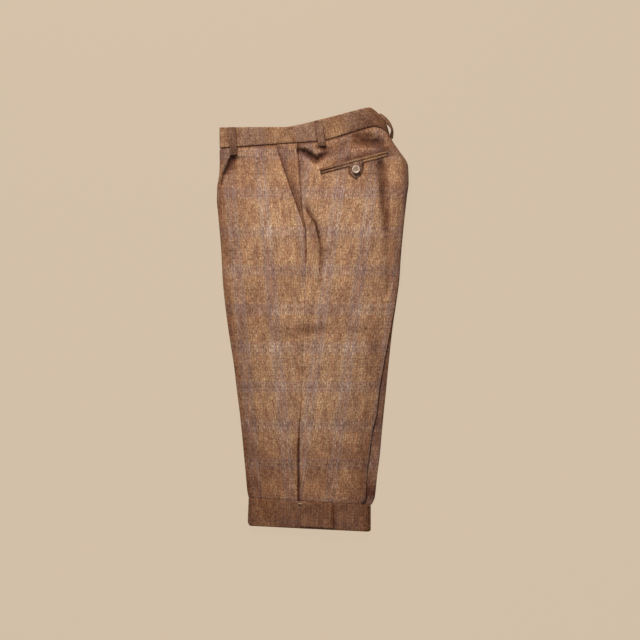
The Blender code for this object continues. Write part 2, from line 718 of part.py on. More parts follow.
def hole_cutter():
    work = bmesh.new()
    for k in range(4):
        a = math.radians(45 + 90 * k)
        made = bmesh.ops.create_cone(work, cap_ends=True, segments=8,
                                     radius1=BUTTON_HOLE_RADIUS * MM,
                                     radius2=BUTTON_HOLE_RADIUS * MM, depth=3 * BUTTON_THICK * MM)
        shift = Vector((math.cos(a), math.sin(a), 0.0)) * BUTTON_HOLE_PITCH * MM * math.sqrt(2.0)
        bmesh.ops.translate(work, verts=made["verts"], vec=shift)
    mesh = bpy.data.meshes.new("button_holes")
    work.to_mesh(mesh)
    work.free()
    cutter = bpy.data.objects.new("button_holes", mesh)
    cutter.hide_render = True
    cutter.display_type = "WIRE"
    bpy.context.scene.collection.objects.link(cutter)
    return cutter


def inner_cover(s):
    """Thickness of what lies over the inner layers."""
    return CLOTH + GAP + (BAND_WALL + INNER_MARGIN - CLOTH) * smooth(s, 270.0, 300.0)


def inner_top(x, s):
    """Highest place for the inner layers under the upper leg."""
    row = section(s)
    begin, end = flat_ends("left", s)
    y = place_y(x, row)
    deepest = 0.0
    for dx in INNER_REACH_X:
        for dy in INNER_REACH_Y:
            deepest = min(deepest, creases(x + dx, y + dy, begin, end))
    lowest = crown_height(min(max(x, begin), end), row, begin, end) + deepest
    near, far = UNDERLAP_ROOM_X
    under = smooth(x, UNDERLAP_FRONT_X - far, UNDERLAP_FRONT_X - near)
    under *= 1.0 - smooth(x, UNDERLAP_BACK_X + near, UNDERLAP_BACK_X + far)
    under *= 1.0 - smooth(s, VENT_TOP_S + UNDERLAP_ROOM_S[0], VENT_TOP_S + UNDERLAP_ROOM_S[1])
    return lowest - inner_cover(s) - INNER_MARGIN - under * (CLOTH + GAP)


def inner_span(s, u):
    """x of the inner layers at u of their width, and how full they are there."""
    row = section(s)
    front, back, front_r, back_r, turn, tail = wraps("left", row)
    rolled = (180.0 - row["turn"]) / 90.0
    begin = front + front_r + FRONT_TAIL + INNER_TAIL_CLEAR
    end = back - back_r - tail - LEG_BACK_TAIL * min(tail / 16.0, 1.0) - INNER_CLEAR
    nose = 3.0 + 0.4 * back_r * rolled
    past = max(u - INNER_FLAT_END, 0.0) / (1.0 - INNER_FLAT_END)
    x = begin + (end - begin) * min(u / INNER_FLAT_END, 1.0) + nose * past
    return x, 1.0 - (0.2 + 0.35 * rolled) * past


def inner_layers():
    """All the hidden cloth between the outer panels, with its folded edges at the waist."""
    across = (0.0, 0.08, 0.2, 0.34, 0.48, 0.62, 0.76, 0.88, INNER_FLAT_END, 1.0)
    levels = steps(INNER_BOTTOM_S, 100.0, 9) + steps(100.0, INNER_TOP_S, 9)[1:]
    loops = []
    for u in across:
        upper, lower = [], []
        for s in levels:
            x, full = inner_span(s, u)
            row = section(s)
            y = place_y(x, row)
            top, floor = inner_top(x, s), inner_cover(s)
            middle, half = 0.5 * (top + floor), 0.5 * (top - floor) * full
            upper.append(Vector((x, y, middle + half)))
            lower.append(Vector((x, y, middle - half)))
        loop = upper + layered_end(upper[-1], lower[-1]) + lower[::-1]
        loops.append(loop)
    count = len(loops[0])
    points = [p for loop in loops for p in loop]
    faces = []
    for i in range(len(across) - 1):
        for j in range(count):
            n = (j + 1) % count
            faces.append((i * count + j, i * count + n, (i + 1) * count + n, (i + 1) * count + j))
    rows = len(levels)
    for i in (0, len(across) - 1):
        for j in range(rows - 1):
            faces.append((i * count + j, i * count + j + 1,
                          i * count + count - 2 - j, i * count + count - 1 - j))
        faces.append(tuple(i * count + j for j in range(rows - 1, count - rows + 1)))
    return make_object("inner_layers", points, faces, "tweed_inside")


def layered_end(top, bottom):
    """Rounded edges of the folded layers, one above the other, at the waist."""
    points = []
    step = (bottom - top) / INNER_LAYERS
    for layer in range(INNER_LAYERS):
        start = top + step * layer
        points.append(start + step * 0.3 + Vector((0.0, INNER_NOSE, 0.0)))
        points.append(start + step * 0.7 + Vector((0.0, INNER_NOSE, 0.0)))
        if layer < INNER_LAYERS - 1:
            points.append(start + step + Vector((0.0, 0.6, 0.0)))
    return points


def clear_scene():
    for old in list(bpy.data.objects):
        bpy.data.objects.remove(old, do_unlink=True)


def build():
    clear_scene()
    left_front_panel()
    left_back_panel()
    right_panel("right_front_panel", True)
    right_panel("right_back_panel", False)
    left_pocket_bearer()
    left_vent_underlap()
    waistband("left")
    waistband("right")
    knee_band("left")
    knee_band("right")
    knee_tab()
    belt_loop("front_belt_loop", (-154.3, 364.0), (-150.0, 311.8))
    belt_loop("side_belt_loop", (10.3, 376.5), (17.6, 328.2))
    back_belt_loop()
    pocket_jet("upper_pocket_jet", 1.0)
    pocket_jet("lower_pocket_jet", -1.0)
    pocket_tab()
    pocket_button()
    inner_layers()


build()
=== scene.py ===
"""Looks of the folded tweed knee breeches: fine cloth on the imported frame, with its weave,
check, sewing and horn button, on a pale floor under soft light.

The cloth follows the same folded surface as the solids: q goes across from the front fold
to the back fold, s along the front fold, h out from the cloth. Sizes are in millimetres.
"""
import math

import bmesh
import bpy
import numpy as np
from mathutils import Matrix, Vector


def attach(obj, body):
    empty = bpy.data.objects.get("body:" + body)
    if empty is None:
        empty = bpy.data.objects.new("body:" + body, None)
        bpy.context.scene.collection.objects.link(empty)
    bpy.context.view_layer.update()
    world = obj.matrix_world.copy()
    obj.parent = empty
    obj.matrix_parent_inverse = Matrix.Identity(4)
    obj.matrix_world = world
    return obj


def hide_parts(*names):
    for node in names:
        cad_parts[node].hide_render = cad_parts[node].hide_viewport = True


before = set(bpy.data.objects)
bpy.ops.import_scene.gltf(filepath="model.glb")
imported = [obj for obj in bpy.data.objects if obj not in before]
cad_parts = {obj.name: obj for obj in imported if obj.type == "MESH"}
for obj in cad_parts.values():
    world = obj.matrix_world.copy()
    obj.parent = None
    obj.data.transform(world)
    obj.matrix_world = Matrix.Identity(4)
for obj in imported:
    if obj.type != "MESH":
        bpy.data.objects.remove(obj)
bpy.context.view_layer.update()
MM = 0.001

# The garment's driving sizes, as in its solids
WAIST_S = 364.2
BAND_SEAM_S = 323.8
KNEE_SEAM_S = -340.0
HEM_S = -393.4
CLOTH = 1.6
BAND_WALL = 3.6
BAND_PROUD = 0.8
CUFF_WALL = 2.1
HALF_GAP = 0.15
PIECE_GAP = 0.3         # between cloth pieces that lie on each other
FRONT_TAIL = 14.0
LEG_BACK_TAIL = 6.0
FULL_TAIL = 16.0
CUFF_BACK = {"left": 103.6, "right": 110.2}
RIGHT_FRONT_STEP = 1.0
POCKET_TOP_X = -69.4
POCKET_SLOPE = 0.352
POCKET_END_S = 169.0
MOUTH_LIFT = 1.9
MOUTH_LIFT_WIDTH = 13.0
MOUTH_LIFT_FADE = 15.0
BEARER_UNDER = 11.0
VENT_TOP_S = -216.6
VENT_OPEN = 3.2
VENT_TAPER = 18.0
UNDERLAP_X = (-46.0, -9.0)
KNEE_TAB_X = (-24.0, 38.5)
JET_START = (14.2, 279.3)
JET_END = (141.6, 313.5)
JET_WIDTH = 5.0
JET_WALL = 1.3
JET_SLOT = 1.0
TAB_X = 81.7
TAB_TIP_Y = 264.5
TAB_WIDTH = 25.0
TAB_WALL = 1.3
BUTTON_Y = 283.2
BUTTON_FALL = 14.2
BUTTON_RADIUS = 7.6
BUTTON_THICK = 3.0

# The back pocket's line along its slot, and the tab's fall from it to the tip
JET_LENGTH = math.dist(JET_START, JET_END)
JET_ALONG = (np.array(JET_END) - JET_START) / JET_LENGTH
JET_ACROSS = np.array([-JET_ALONG[1], JET_ALONG[0]])
JET_SLOPE = JET_ALONG[1] / JET_ALONG[0]
SLOT_Y = JET_START[1] + JET_SLOPE * (TAB_X - JET_START[0])
TAB_FALL = SLOT_Y - TAB_TIP_Y

LOOP_WIDTH = 13.0
LOOP_WALL = 2.0
LOOP_BOW = 1.6
FRONT_LOOP = ((-154.3, 364.0), (-150.0, 311.8))     # x and y of both ends
SIDE_LOOP = ((10.3, 376.5), (17.6, 328.2))

COLUMNS = ("s", "front", "seam", "back", "under", "front_h", "back_h", "mid_h",
           "sag", "turn", "tail", "rise", "drop", "crest", "start", "lead")
USUAL = (0,) * 9 + (180, 16, 0, 0, 160, -60, 0)     # what a row's missing last columns hold
SECTIONS = [row + USUAL[len(row):] for row in (
    (-393.4, -120.6, -27.6, 102.0, 108.0, 11.5, 11.5, 12.6, 11.4),
    (-386.0, -124.0, -27.6, 103.6, 110.2, 11.5, 11.5, 12.9, 11.8),
    (-341.0, -122.6, -27.6, 93.0, 112.0, 11.0, 11.0, 13.2, 14.0),
    (-329.0, -124.8, -27.6, 101.0, 117.5, 10.8, 10.8, 14.2, 12.8),
    (-289.0, -128.5, -27.6, 102.5, 122.6, 10.7, 10.7, 15.8, 8.0),
    (-254.0, -131.8, -27.6, 107.4, 127.6, 10.7, 10.7, 16.6, 4.0),
    (-211.0, -136.0, -26.0, 113.4, 131.6, 10.7, 10.7, 17.4, 1.5),
    (-182.0, -139.0, -23.5, 121.0, 134.6, 10.7, 10.7, 18.0, 0.5),
    (-138.0, -144.5, -21.2, 126.0, 139.2, 10.7, 10.7, 18.6),
    (-95.0, -149.6, -19.6, 133.2, 143.3, 10.7, 10.7, 19.1),
    (-22.8, -160.6, -17.6, 147.3, 151.0, 10.7, 10.8, 20.0),
    (36.0, -168.2, -15.5, 157.8, 159.6, 10.7, 11.0, 20.8, 0, 180, 9),
    (74.0, -171.8, -14.3, 164.0, 164.6, 10.7, 12.2, 21.2, 0, 174, 0),
    (130.0, -174.6, -12.9, 168.2, 168.2, 10.8, 16.0, 22.2, 0, 140, 0),
    (170.0, -177.9, -14.3, 172.0, 172.0, 11.0, 19.0, 23.0, 0, 117, 0, 1.0),
    (200.0, -180.6, -19.5, 175.4, 175.4, 11.2, 21.5, 24.0, 0, 102, 0, 3.0),
    (225.0, -182.9, -21.8, 178.6, 178.6, 11.4, 23.6, 24.6, 0, 94, 0, 7.0, 1),
    (250.0, -182.4, -24.0, 182.0, 182.0, 11.8, 25.2, 25.2, 0, 90, 0, 13.0, 3, 150),
    (275.0, -178.4, -25.6, 180.8, 180.8, 12.4, 26.2, 25.8, 0, 90, 0, 22.0, 7, 140),
    (300.0, -177.4, -27.4, 162.8, 162.8, 13.8, 27.2, 26.2, 0, 90, 0, 32.0, 12, 125, -40, 0.08),
    (312.0, -177.6, -28.0, 152.6, 152.6, 15.6, 27.6, 26.2, 0, 90, 0, 36.5, 14, 118, -10, 0.25),
    (323.8, -177.5, -28.5, 146.3, 146.3, 17.4, 28.2, 26.2, 0, 90, 0, 40.5, 16, 112, 15, 0.46),
    (343.5, -177.6, -29.0, 139.5, 139.5, 18.0, 28.6, 25.8, 0, 90, 0, 38.5, 13, 107, -25, 0.25),
    (364.2, -177.7, -29.0, 124.5, 124.5, 18.0, 29.0, 25.4, 0, 90, 0, 36.5, 12, 102.6, -50),
)]


def pieces_of(lines):
    """Straight pieces of bent lines: both ends and the two values given at the first end."""
    return [(*a[:2], *b[:2], *a[2:]) for line in lines for a, b in zip(line, line[1:])]


# Folds: x and y of their points, half width, depth; a negative depth is a ridge.
LARGE_FOLDS = pieces_of((
    ((-24, 320, 8, 5.4), (8, 299, 8, 4.4), (24, 315)),      # valley under the side loop
    ((-8, 274, 6, 1.6), (4, 250)),
    ((-10, 209, 8, 3.0), (10, 162, 8, 2.8), (16, 124, 9, 2.4), (12, 60)),   # long soft fold
    ((-4, 262, 14, -2.4), (34, 150)),
    ((86, 338, 10, 4.2), (130, 336)),                       # hollow under the waistband
    ((141, 318, 8, 2.4), (145, 300)),
    ((130, 292, 8, 5.0), (136, 238, 8, 4.6), (141, 165, 9, 2.6), (145, 50)),    # trough
    ((-20, -21, 10, 3.0), (20, -21)),                       # cross crease at the knee
    ((-60, -60, 16, -1.4), (-100, -110)),
    ((40, -120, 16, 1.6), (70, -210)),
    ((-90, 120, 18, 1.4), (-120, 20)),
    ((-156, 308, 4.5, 1.8), (-170, 277, 4.5, 1.5), (-176, 243)),
    ((60, 60, 20, -1.6), (90, -60)),
))
FINE_FOLDS = pieces_of((
    # sharp heart of the valley under the side loop
    ((-25, 318, 4.8, 4.6), (-16, 317, 5.6, 5.8), (-5, 310, 5.6, 5.8), (6, 302, 5.6, 4.4),
     (16, 307, 5.6, 3.0), (28, 314)),
    ((12, 325, 5.5, 4.4), (22, 323)),       # hollow below the side loop's end
    ((-152, 308, 4.8, 3.2), (-148, 304)),   # hollow below the front loop's end
    # sharp heart of the long soft fold
    ((-11, 209, 3.2, 1.5), (5.5, 182, 3.2, 1.5), (13, 152, 3.2, 0.9), (15.6, 131, 4.6, 1.1),
     (14.5, 66)),
    # along the edge of the pleat by the front
    ((-158.5, 302, 2.4, 3.4), (-162.5, 292, 2.6, 3.8), (-171.5, 275.5, 2.4, 2.6),
     (-175.5, 258, 2.4, 1.2), (-177, 240)),
    # heart of the trough before the seat's fold
    ((126, 290, 9.0, 2.4), (138, 284)),
    ((131, 287, 10.0, 2.1), (134, 240, 9.6, 2.1), (139, 200, 9.0, 1.8), (142, 168, 8.0, 1.5),
     (145, 130, 7.5, 1.3), (141, 60, 7.0, 1.1), (131, -30, 7.0, 0.9), (106, -140, 7.0, 0.8),
     (84, -280)),
    ((-6, 272, 2.6, 0.6), (2, 254)),
    # hollow close under the waistband
    ((96, 334, 9.5, 5.6), (124, 332, 8.5, 3.4), (142, 314)),
    ((76, 346, 8.0, 2.8), (112, 346)),
    ((36, 320, 13.0, 2.2), (90, 334)),
    # small cross creases on the leg
    ((-50, -36, 3.5, 0.6), (-24, -37)),
    ((-150, 60, 5.0, 0.6), (-118, 52)),
    ((60, -20, 6.0, 0.6), (96, -30)),
    ((-110, -215, 5.0, 0.6), (-84, -225)),
    ((20, -250, 6.0, 0.6), (62, -262)),
    # edges of the vent, puffed up
    ((-12, -232, 6.0, -0.9), (-14, -330)),
    ((-44, -240, 6.0, -0.6), (-46, -330)),
))
# Sharp creases: x and y along the edge, height of the step down on its right, and how far
# the cloth there takes to come up again
PLEATS = pieces_of((
    ((-157.8, 306.5, 3.8, 18), (-161.6, 293, 3.8, 20), (-166.8, 283, 3.2, 20),
     (-172.2, 274, 2.2, 16), (-174.6, 254)),
    ((-14, 206, 2.4, 6), (3, 182, 2.7, 6), (10.5, 152, 2.1, 6), (13.5, 131, 1.4, 6), (13, 82)),
))


def smooth(value, low, high):
    """0 at low, 1 at high, smooth between; the other way round if high is the lower one."""
    t = np.clip((np.asarray(value, float) - low) / (high - low), 0.0, 1.0)
    return t * t * (3.0 - 2.0 * t)


def fade(distance, width):
    """1 at no distance, and softly down to 0 beyond the width."""
    return np.exp(-(distance / width) ** 2)


def softer_min(a, b, blend):
    return 0.5 * (a + b - np.sqrt((a - b) ** 2 + blend ** 2))


def limited(slope, one, other, k):
    """Slope of a monotone curve where a span of this slope meets its neighbour."""
    if one[0] == other[0]:
        return slope
    beside = (one[k] - other[k]) / (one[0] - other[0])
    return 0.0 if slope * beside <= 0.0 else 2.0 * slope * beside / (slope + beside)


def curve_value(s, k):
    """One column of the table of sections at s, on a smooth curve through its rows."""
    i = 0
    while i < len(SECTIONS) - 2 and s > SECTIONS[i + 1][0]:
        i += 1
    low, high = SECTIONS[i:i + 2]
    span = high[0] - low[0]
    t = (s - low[0]) / span
    slope = (high[k] - low[k]) / span
    slope_low = limited(slope, low, SECTIONS[max(i - 1, 0)], k)
    slope_high = limited(slope, SECTIONS[min(i + 2, len(SECTIONS) - 1)], high, k)
    return (low[k] * (1 + 2 * t) * (1 - t) ** 2 + high[k] * t * t * (3 - 2 * t)
            + span * slope_low * t * (1 - t) ** 2 - span * slope_high * t * t * (1 - t))


STATIONS = np.arange(HEM_S, WAIST_S + 0.5, 0.5)
CURVES = {name: np.array([curve_value(min(s, WAIST_S), k) for s in STATIONS])
          for k, name in enumerate(COLUMNS) if k}


def section(s):
    s = np.clip(np.asarray(s, float), HEM_S, WAIST_S)
    row = {name: np.interp(s, STATIONS, values) for name, values in CURVES.items()}
    row["s"] = s
    return row


def place_y(x, row):
    t = np.maximum((x - row["start"]) / (row["crest"] - row["start"]), 0.0)
    past = np.maximum((x - row["crest"]) / np.maximum(row["back"] - row["crest"], 1.0), 0.0)
    even = (x - row["front"]) / (row["crest"] - row["front"])
    climb = row["rise"] * 1.03 * (row["lead"] * even + (1.0 - row["lead"]) * t ** 1.15)
    crown = row["rise"] * 1.033 - row["drop"] * past ** 2
    across = (x - row["front"]) / (row["under"] - row["front"])
    return row["s"] + softer_min(climb, crown, 0.08 * row["rise"]) - row["sag"] * across


def s_at(x, y):
    s = np.array(y, float)
    for _ in range(14):
        s = np.clip(s + 0.9 * (y - place_y(x, section(s))), HEM_S, WAIST_S)
    return s


CROWN_POWER = 2.6       # how flat the pile's top is between its folds
FOLD_BLEND = 4.0        # how sharply the deepest of several folds wins


def fold_height(x, y, table):
    """Valleys below 0 and ridges above it; where folds meet, the deeper one counts."""
    sums = [np.zeros_like(x, float), np.zeros_like(x, float)]
    for x0, y0, x1, y1, width, depth in table:
        ax, ay = x1 - x0, y1 - y0
        t = np.clip(((x - x0) * ax + (y - y0) * ay) / (ax * ax + ay * ay), 0.0, 1.0)
        off = np.hypot(x - x0 - t * ax, y - y0 - t * ay)
        sums[depth > 0] += (abs(depth) * fade(off, width)) ** FOLD_BLEND
    ridges, valleys = (total ** (1.0 / FOLD_BLEND) for total in sums)
    return ridges - valleys


def pleat_height(x, y):
    """A drop on the right of each pleat's edge that fades away from it."""
    total = np.zeros_like(x, float)
    for x0, y0, x1, y1, step, reach in PLEATS:
        right = x - np.interp(y, (y1, y0), (x1, x0))
        ends = smooth(y, y1 - 3.0, y1 + 1.0) * smooth(y, y0 + 3.0, y0 - 1.0)
        drop = smooth(right, -0.8, 0.8) * np.exp(-np.maximum(right, 0.0) / reach)
        total = np.minimum(total, -step * drop * ends)
    return total


# Long soft waves of laid cloth: wave lengths across and along, phase, height
WAVES = ((71.0, 167.0, 0.3, 0.32), (43.0, -118.0, 1.9, 0.22), (-29.0, 83.0, 4.1, 0.14),
         (19.0, 57.0, 2.6, 0.07), (137.0, 61.0, 5.2, 0.25), (-17.0, 31.0, 0.9, 0.05))


def soft_waves(x, y):
    total = np.zeros_like(x, float)
    for across, along, phase, height in WAVES:
        bend = 0.9 * np.sin(y / 97.0 + phase)
        total += height * np.sin(2 * np.pi * (x / across + y / along) + phase + bend)
    return total


def front_radius(row):
    return 0.5 * (0.5 * row["front_h"] - HALF_GAP)


def added_tail(tail):
    """How much further the lower leg's cloth goes under, fading out where the tail ends."""
    return LEG_BACK_TAIL * np.minimum(tail / FULL_TAIL, 1.0)


def wraps(side, row):
    """Both folds of a leg: their places and radii, and the back one's turn and tail."""
    front = row["front"] + (RIGHT_FRONT_STEP if side == "right" else 0.0)
    back = row["back"] if side == "left" else row["under"]
    turn = np.radians(row["turn"])
    back_r = (0.5 * row["back_h"] - HALF_GAP) / (1.0 - np.cos(turn))
    tail = row["tail"]
    if side == "right":
        tail = tail + (row["under"] - row["back"]) + added_tail(tail)
    return front, back, front_radius(row), back_r, turn, tail


def flat_ends(side, s):
    front, back, front_r, back_r, _, _ = wraps(side, section(s))
    return front + front_r, back - back_r


def plain_height(x, row, begin, end):
    """The upper leg's height before its folds."""
    u = np.clip((x - begin) / (end - begin), 0.0, 1.0)
    level = row["front_h"] + (row["back_h"] - row["front_h"]) * u
    crown = row["mid_h"] - 0.5 * (row["front_h"] + row["back_h"])
    return level + crown * (1.0 - np.abs(2.0 * u - 1.0) ** CROWN_POWER)


def all_folds(x, y):
    return fold_height(x, y, LARGE_FOLDS) + fold_height(x, y, FINE_FOLDS)


def pile_height(x, y, row, begin, end):
    window = smooth(x, begin, begin + 14.0) * smooth(x, end, end - 14.0)
    return (plain_height(x, row, begin, end) + window * (all_folds(x, y) + soft_waves(x, y))
            + smooth(x, begin - 2.0, begin + 4.0) * pleat_height(x, y))


def turned(distance, radius, angle):
    a = np.minimum(distance / radius, angle)
    extra = np.maximum(distance - radius * angle, 0.0)
    return (radius * np.sin(a) + extra * np.cos(angle),
            radius * (1.0 - np.cos(a)) + extra * np.sin(angle))


def gone_round(q, row, side):
    """How far the cloth has gone round the front fold and the back fold at q."""
    _, _, front_r, back_r, turn, tail = wraps(side, row)
    return (np.maximum(-q, 0) * (front_r * np.pi + FRONT_TAIL),
            np.maximum(q - 1, 0) * (back_r * turn + tail))


def base(side, q, s):
    """Points of the cloth's outer face for arrays of q and s."""
    row = section(s)
    front, back, front_r, back_r, turn, _ = wraps(side, row)
    begin, end = front + front_r, back - back_r
    round_front, round_back = gone_round(q, row, side)
    out_f, down_f = turned(round_front, front_r, np.pi)
    out_b, down_b = turned(round_back, back_r, turn)
    x = np.where(q < 0, begin - out_f, np.where(q > 1, end + out_b, begin + (end - begin) * q))
    y = place_y(x, row)
    if side == "left":
        edge = np.where(q < 0, row["front_h"] - down_f, row["back_h"] - down_b)
        z = np.where((q >= 0) & (q <= 1), pile_height(x, y, row, begin, end), edge)
    else:
        z = np.where(q < 0, down_f, np.where(q > 1, down_b, 0.0))
    return np.stack([x, y, z], axis=-1)


def cloth(side, q, s, h):
    """Points h out from the outer face, for arrays of the same shape."""
    q, s = np.broadcast_arrays(np.asarray(q, float), np.asarray(s, float))
    q0, q1 = np.maximum(q - 0.004, -1.0), np.minimum(q + 0.004, 2.0)
    s0, s1 = np.maximum(s - 0.6, HEM_S), np.minimum(s + 0.6, WAIST_S)
    normal = np.cross(base(side, q1, s) - base(side, q0, s),
                      base(side, q, s1) - base(side, q, s0))
    normal /= np.linalg.norm(normal, axis=-1, keepdims=True)
    if side == "right":
        normal = -normal
    return base(side, q, s) + normal * np.asarray(h, float)[..., None]


def q_of(side, x, s):
    begin, end = flat_ends(side, s)
    return (x - begin) / (end - begin)


def on_leg(x, y, h):
    x, y, h = np.broadcast_arrays(*(np.asarray(v, float) for v in (x, y, h)))
    s = s_at(x, y)
    return cloth("left", q_of("left", x, s), s, h)


# ---------------------------------------------------------------- cloth coordinates

# x at y, and lean, of a lengthwise thread, and how far its count starts from the check's
GRAIN_FRONT = (-183.0, 230.0, 0.088, -1.0)
GRAIN_BACK = (175.0, 200.0, -0.135, 157.8)
GRAIN_BEARER = (-170.0, 230.0, 0.0, 48.0)
RIGHT_SHIFT = 37.0


def panel_uv(side, q, s, points, grain):
    """Threads that go on round the folds, by the distance turned under."""
    round_front, round_back = gone_round(q, section(s), side)
    begin, end = flat_ends(side, s)
    x, y = points[..., 0], points[..., 1]
    x = np.where(q < 0, begin - round_front, np.where(q > 1, end + round_back, x))
    x0, y0, lean, start = grain
    start = start + (RIGHT_SHIFT if side == "right" else 0.0)
    return thread_map(x - (x0 + lean * (y0 - y)) + start, y)


def thread_map(across, along):
    return np.stack(np.broadcast_arrays(across, along), axis=-1) * MM


# ---------------------------------------------------------------- meshes

def linked(name, data):
    """A new object of this mesh, lamp or camera, in the scene."""
    obj = bpy.data.objects.new(name, data)
    bpy.context.scene.collection.objects.link(obj)
    return obj


def dress(obj, finish, replaced=()):
    obj.data.materials.append(finish)
    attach(obj, "root")
    if replaced:
        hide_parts(*replaced)
    return obj


def smoothed(mesh, sharp=55.0):
    mesh.shade_smooth()
    mesh.set_sharp_from_angle(angle=math.radians(sharp))
    return mesh


def mesh_object(name, points, faces, uv, shade=0.0, period=0.0):
    """A smooth mesh with its threads' map, and the painted shade of each point."""
    mesh = bpy.data.meshes.new(name)
    mesh.from_pydata((np.asarray(points, float) * MM).tolist(), [], faces)
    layer = mesh.uv_layers.new(name="Cloth")
    corners = np.empty(len(mesh.loops), dtype=np.int64)
    mesh.loops.foreach_get("vertex_index", corners)
    places = np.asarray(uv, float)[corners]
    if period:
        across = places[:, 0].reshape(-1, 4)
        behind = across.max(axis=1, keepdims=True) - across > 0.5 * period
        places[:, 0] = np.where(behind, across + period, across).ravel()
    layer.data.foreach_set("uv", places.ravel())
    depth = mesh.attributes.new("Shade", "FLOAT", "POINT")
    depth.data.foreach_set("value", np.ravel(shade) + np.zeros(len(mesh.vertices)))
    work = bmesh.new()
    work.from_mesh(mesh)
    bmesh.ops.recalc_face_normals(work, faces=work.faces)
    if work.calc_volume(signed=True) < 0.0:
        bmesh.ops.reverse_faces(work, faces=work.faces)
    work.to_mesh(mesh)
    work.free()
    return linked(name, smoothed(mesh))


def slab(name, outer, inner, uv, shade):
    """A closed wall between two grids of points."""
    rows, columns = outer.shape[:2]
    points = np.concatenate([outer.reshape(-1, 3), inner.reshape(-1, 3)])
    index = np.arange(rows * columns).reshape(rows, columns)
    a, b, c, d = index[:-1, :-1], index[:-1, 1:], index[1:, 1:], index[1:, :-1]
    front = np.stack([a, b, c, d], axis=-1).reshape(-1, 4)
    back = np.stack([a, d, c, b], axis=-1).reshape(-1, 4) + rows * columns
    ring = np.concatenate([index[0, :], index[1:, -1], index[-1, -2::-1], index[-2:0:-1, 0]])
    after = np.roll(ring, -1)
    rim = np.stack([ring, ring + rows * columns, after + rows * columns, after], axis=-1)
    faces = np.concatenate([front, back, rim]).tolist()
    # the inner face gets full painted shade
    both = np.concatenate([shade.ravel(), np.ones(shade.size)])
    return mesh_object(name, points, faces, np.concatenate([uv.reshape(-1, 2)] * 2), both)


def bands(index):
    """Faces between each closed ring of points and the next."""
    after = np.roll(index, -1, axis=1)
    faces = np.stack([index[:-1], after[:-1], after[1:], index[1:]], axis=-1)
    return faces.reshape(-1, 4).tolist()


EDGE = np.array([0.0, 0.35, 0.8, 1.4, 2.2, 3.4, 5.0])     # places near a sewn edge
TURN = np.array([0, .03, .06, .09, .12, .155, .19, .23, .27, .31, .36, .5, .64, .82, 1.0])
ROLL = np.array([0, .04, .08, .12, .16, .2, .25, .3, .35, .42, .5, .6, .7, .8, .9, 1.0])
ROUND_FRONT, ROUND_BACK = -TURN[:0:-1], 1.0 + ROLL[1:]    # q round the two folds


def between(start, stop, step, start_edge=True, stop_edge=True):
    """Places from start to stop about a step apart, closer at sewn edges."""
    way = 1.0 if stop > start else -1.0
    length = abs(stop - start)
    low = EDGE if start_edge else np.array([0.0])
    high = length - EDGE[::-1] if stop_edge else np.array([length])
    count = max(int(round((high[0] - low[-1]) / step)), 2)
    middle = np.linspace(low[-1], high[0], count + 1)[1:-1]
    return start + way * np.concatenate([low, middle, high])


def across_rows(left, right, sewn_right, count, fine=0, share=0.0):
    """Places on every row from left to right, closer at the one edge that is sewn.

    The first share of the row may hold more of the columns than the rest.
    """
    t = np.concatenate([np.linspace(0.0, share, fine + 1),
                        np.linspace(share, 1.0, count - fine + 1)[1:]])
    if sewn_right:
        rim, right = right[:, None] - EDGE[-2::-1], right - EDGE[-1]
    else:
        rim, left = left[:, None] + EDGE[:-1], left + EDGE[-1]
    flat = left[:, None] + (right - left)[:, None] * t
    return np.concatenate([flat, rim] if sewn_right else [rim, flat], axis=1)


FAR = 99.0              # a distance at which nothing tells


def panel_grid(side, s, edge, before, *counts):
    """q and s of a panel before or behind its sewn edge, its x, and the way from that edge."""
    begin, end = flat_ends(side, s)
    x = across_rows(*((begin, edge) if before else (edge, end)), before, *counts)
    away = np.abs(x - edge[:, None])
    wrap = ROUND_FRONT if before else ROUND_BACK
    parts = [np.broadcast_to(wrap, (len(s), len(wrap))), q_of(side, x, s[:, None])]
    q = np.concatenate(parts if before else parts[::-1], axis=1)
    added = ((0, 0), (len(wrap), 0) if before else (0, len(wrap)))
    return (q, np.broadcast_to(s[:, None], q.shape), np.pad(x, added, "edge"),
            np.pad(away, added, constant_values=FAR))


def seam_dip(distance, depth, width=1.5):
    """Cloth turning down into a seam."""
    return -depth * fade(distance, width)


def rounded(distance, height=0.9, width=0.9):
    """How far a laid piece's edge rolls down, by the distance from it."""
    return -height * fade(distance, width)


def vent_half_gap(s):
    opened = smooth(VENT_TOP_S - s, 0.0, VENT_TAPER)
    return HALF_GAP + (0.5 * VENT_OPEN - HALF_GAP) * opened


def mouth_x(s):
    return POCKET_TOP_X + POCKET_SLOPE * (BAND_SEAM_S - s)


def front_edge_x(s):
    seam = section(s)["seam"] - vent_half_gap(s)
    return np.where(s > POCKET_END_S - 12.0, np.minimum(mouth_x(s), seam), seam)


def front_lift(x, s):
    away = mouth_x(s) - x
    near = smooth(away, MOUTH_LIFT_WIDTH + MOUTH_LIFT_FADE, MOUTH_LIFT_WIDTH)
    return MOUTH_LIFT * near * smooth(s, POCKET_END_S - 32.0, POCKET_END_S - 8.0)


def pucker(along, distance, reach=9.0, height=0.14):
    """Small ripples that a line of sewing draws into the cloth."""
    wave = np.sin(along / 1.9 + 1.7 * np.sin(along / 13.0)) + 0.6 * np.sin(along / 3.7)
    return height * wave * fade(distance, reach)


def end_dips(s, depth):
    """The panel turning into the waistband seam and the knee seam."""
    return seam_dip(BAND_SEAM_S - s, depth) + seam_dip(s - KNEE_SEAM_S, depth * 0.45)
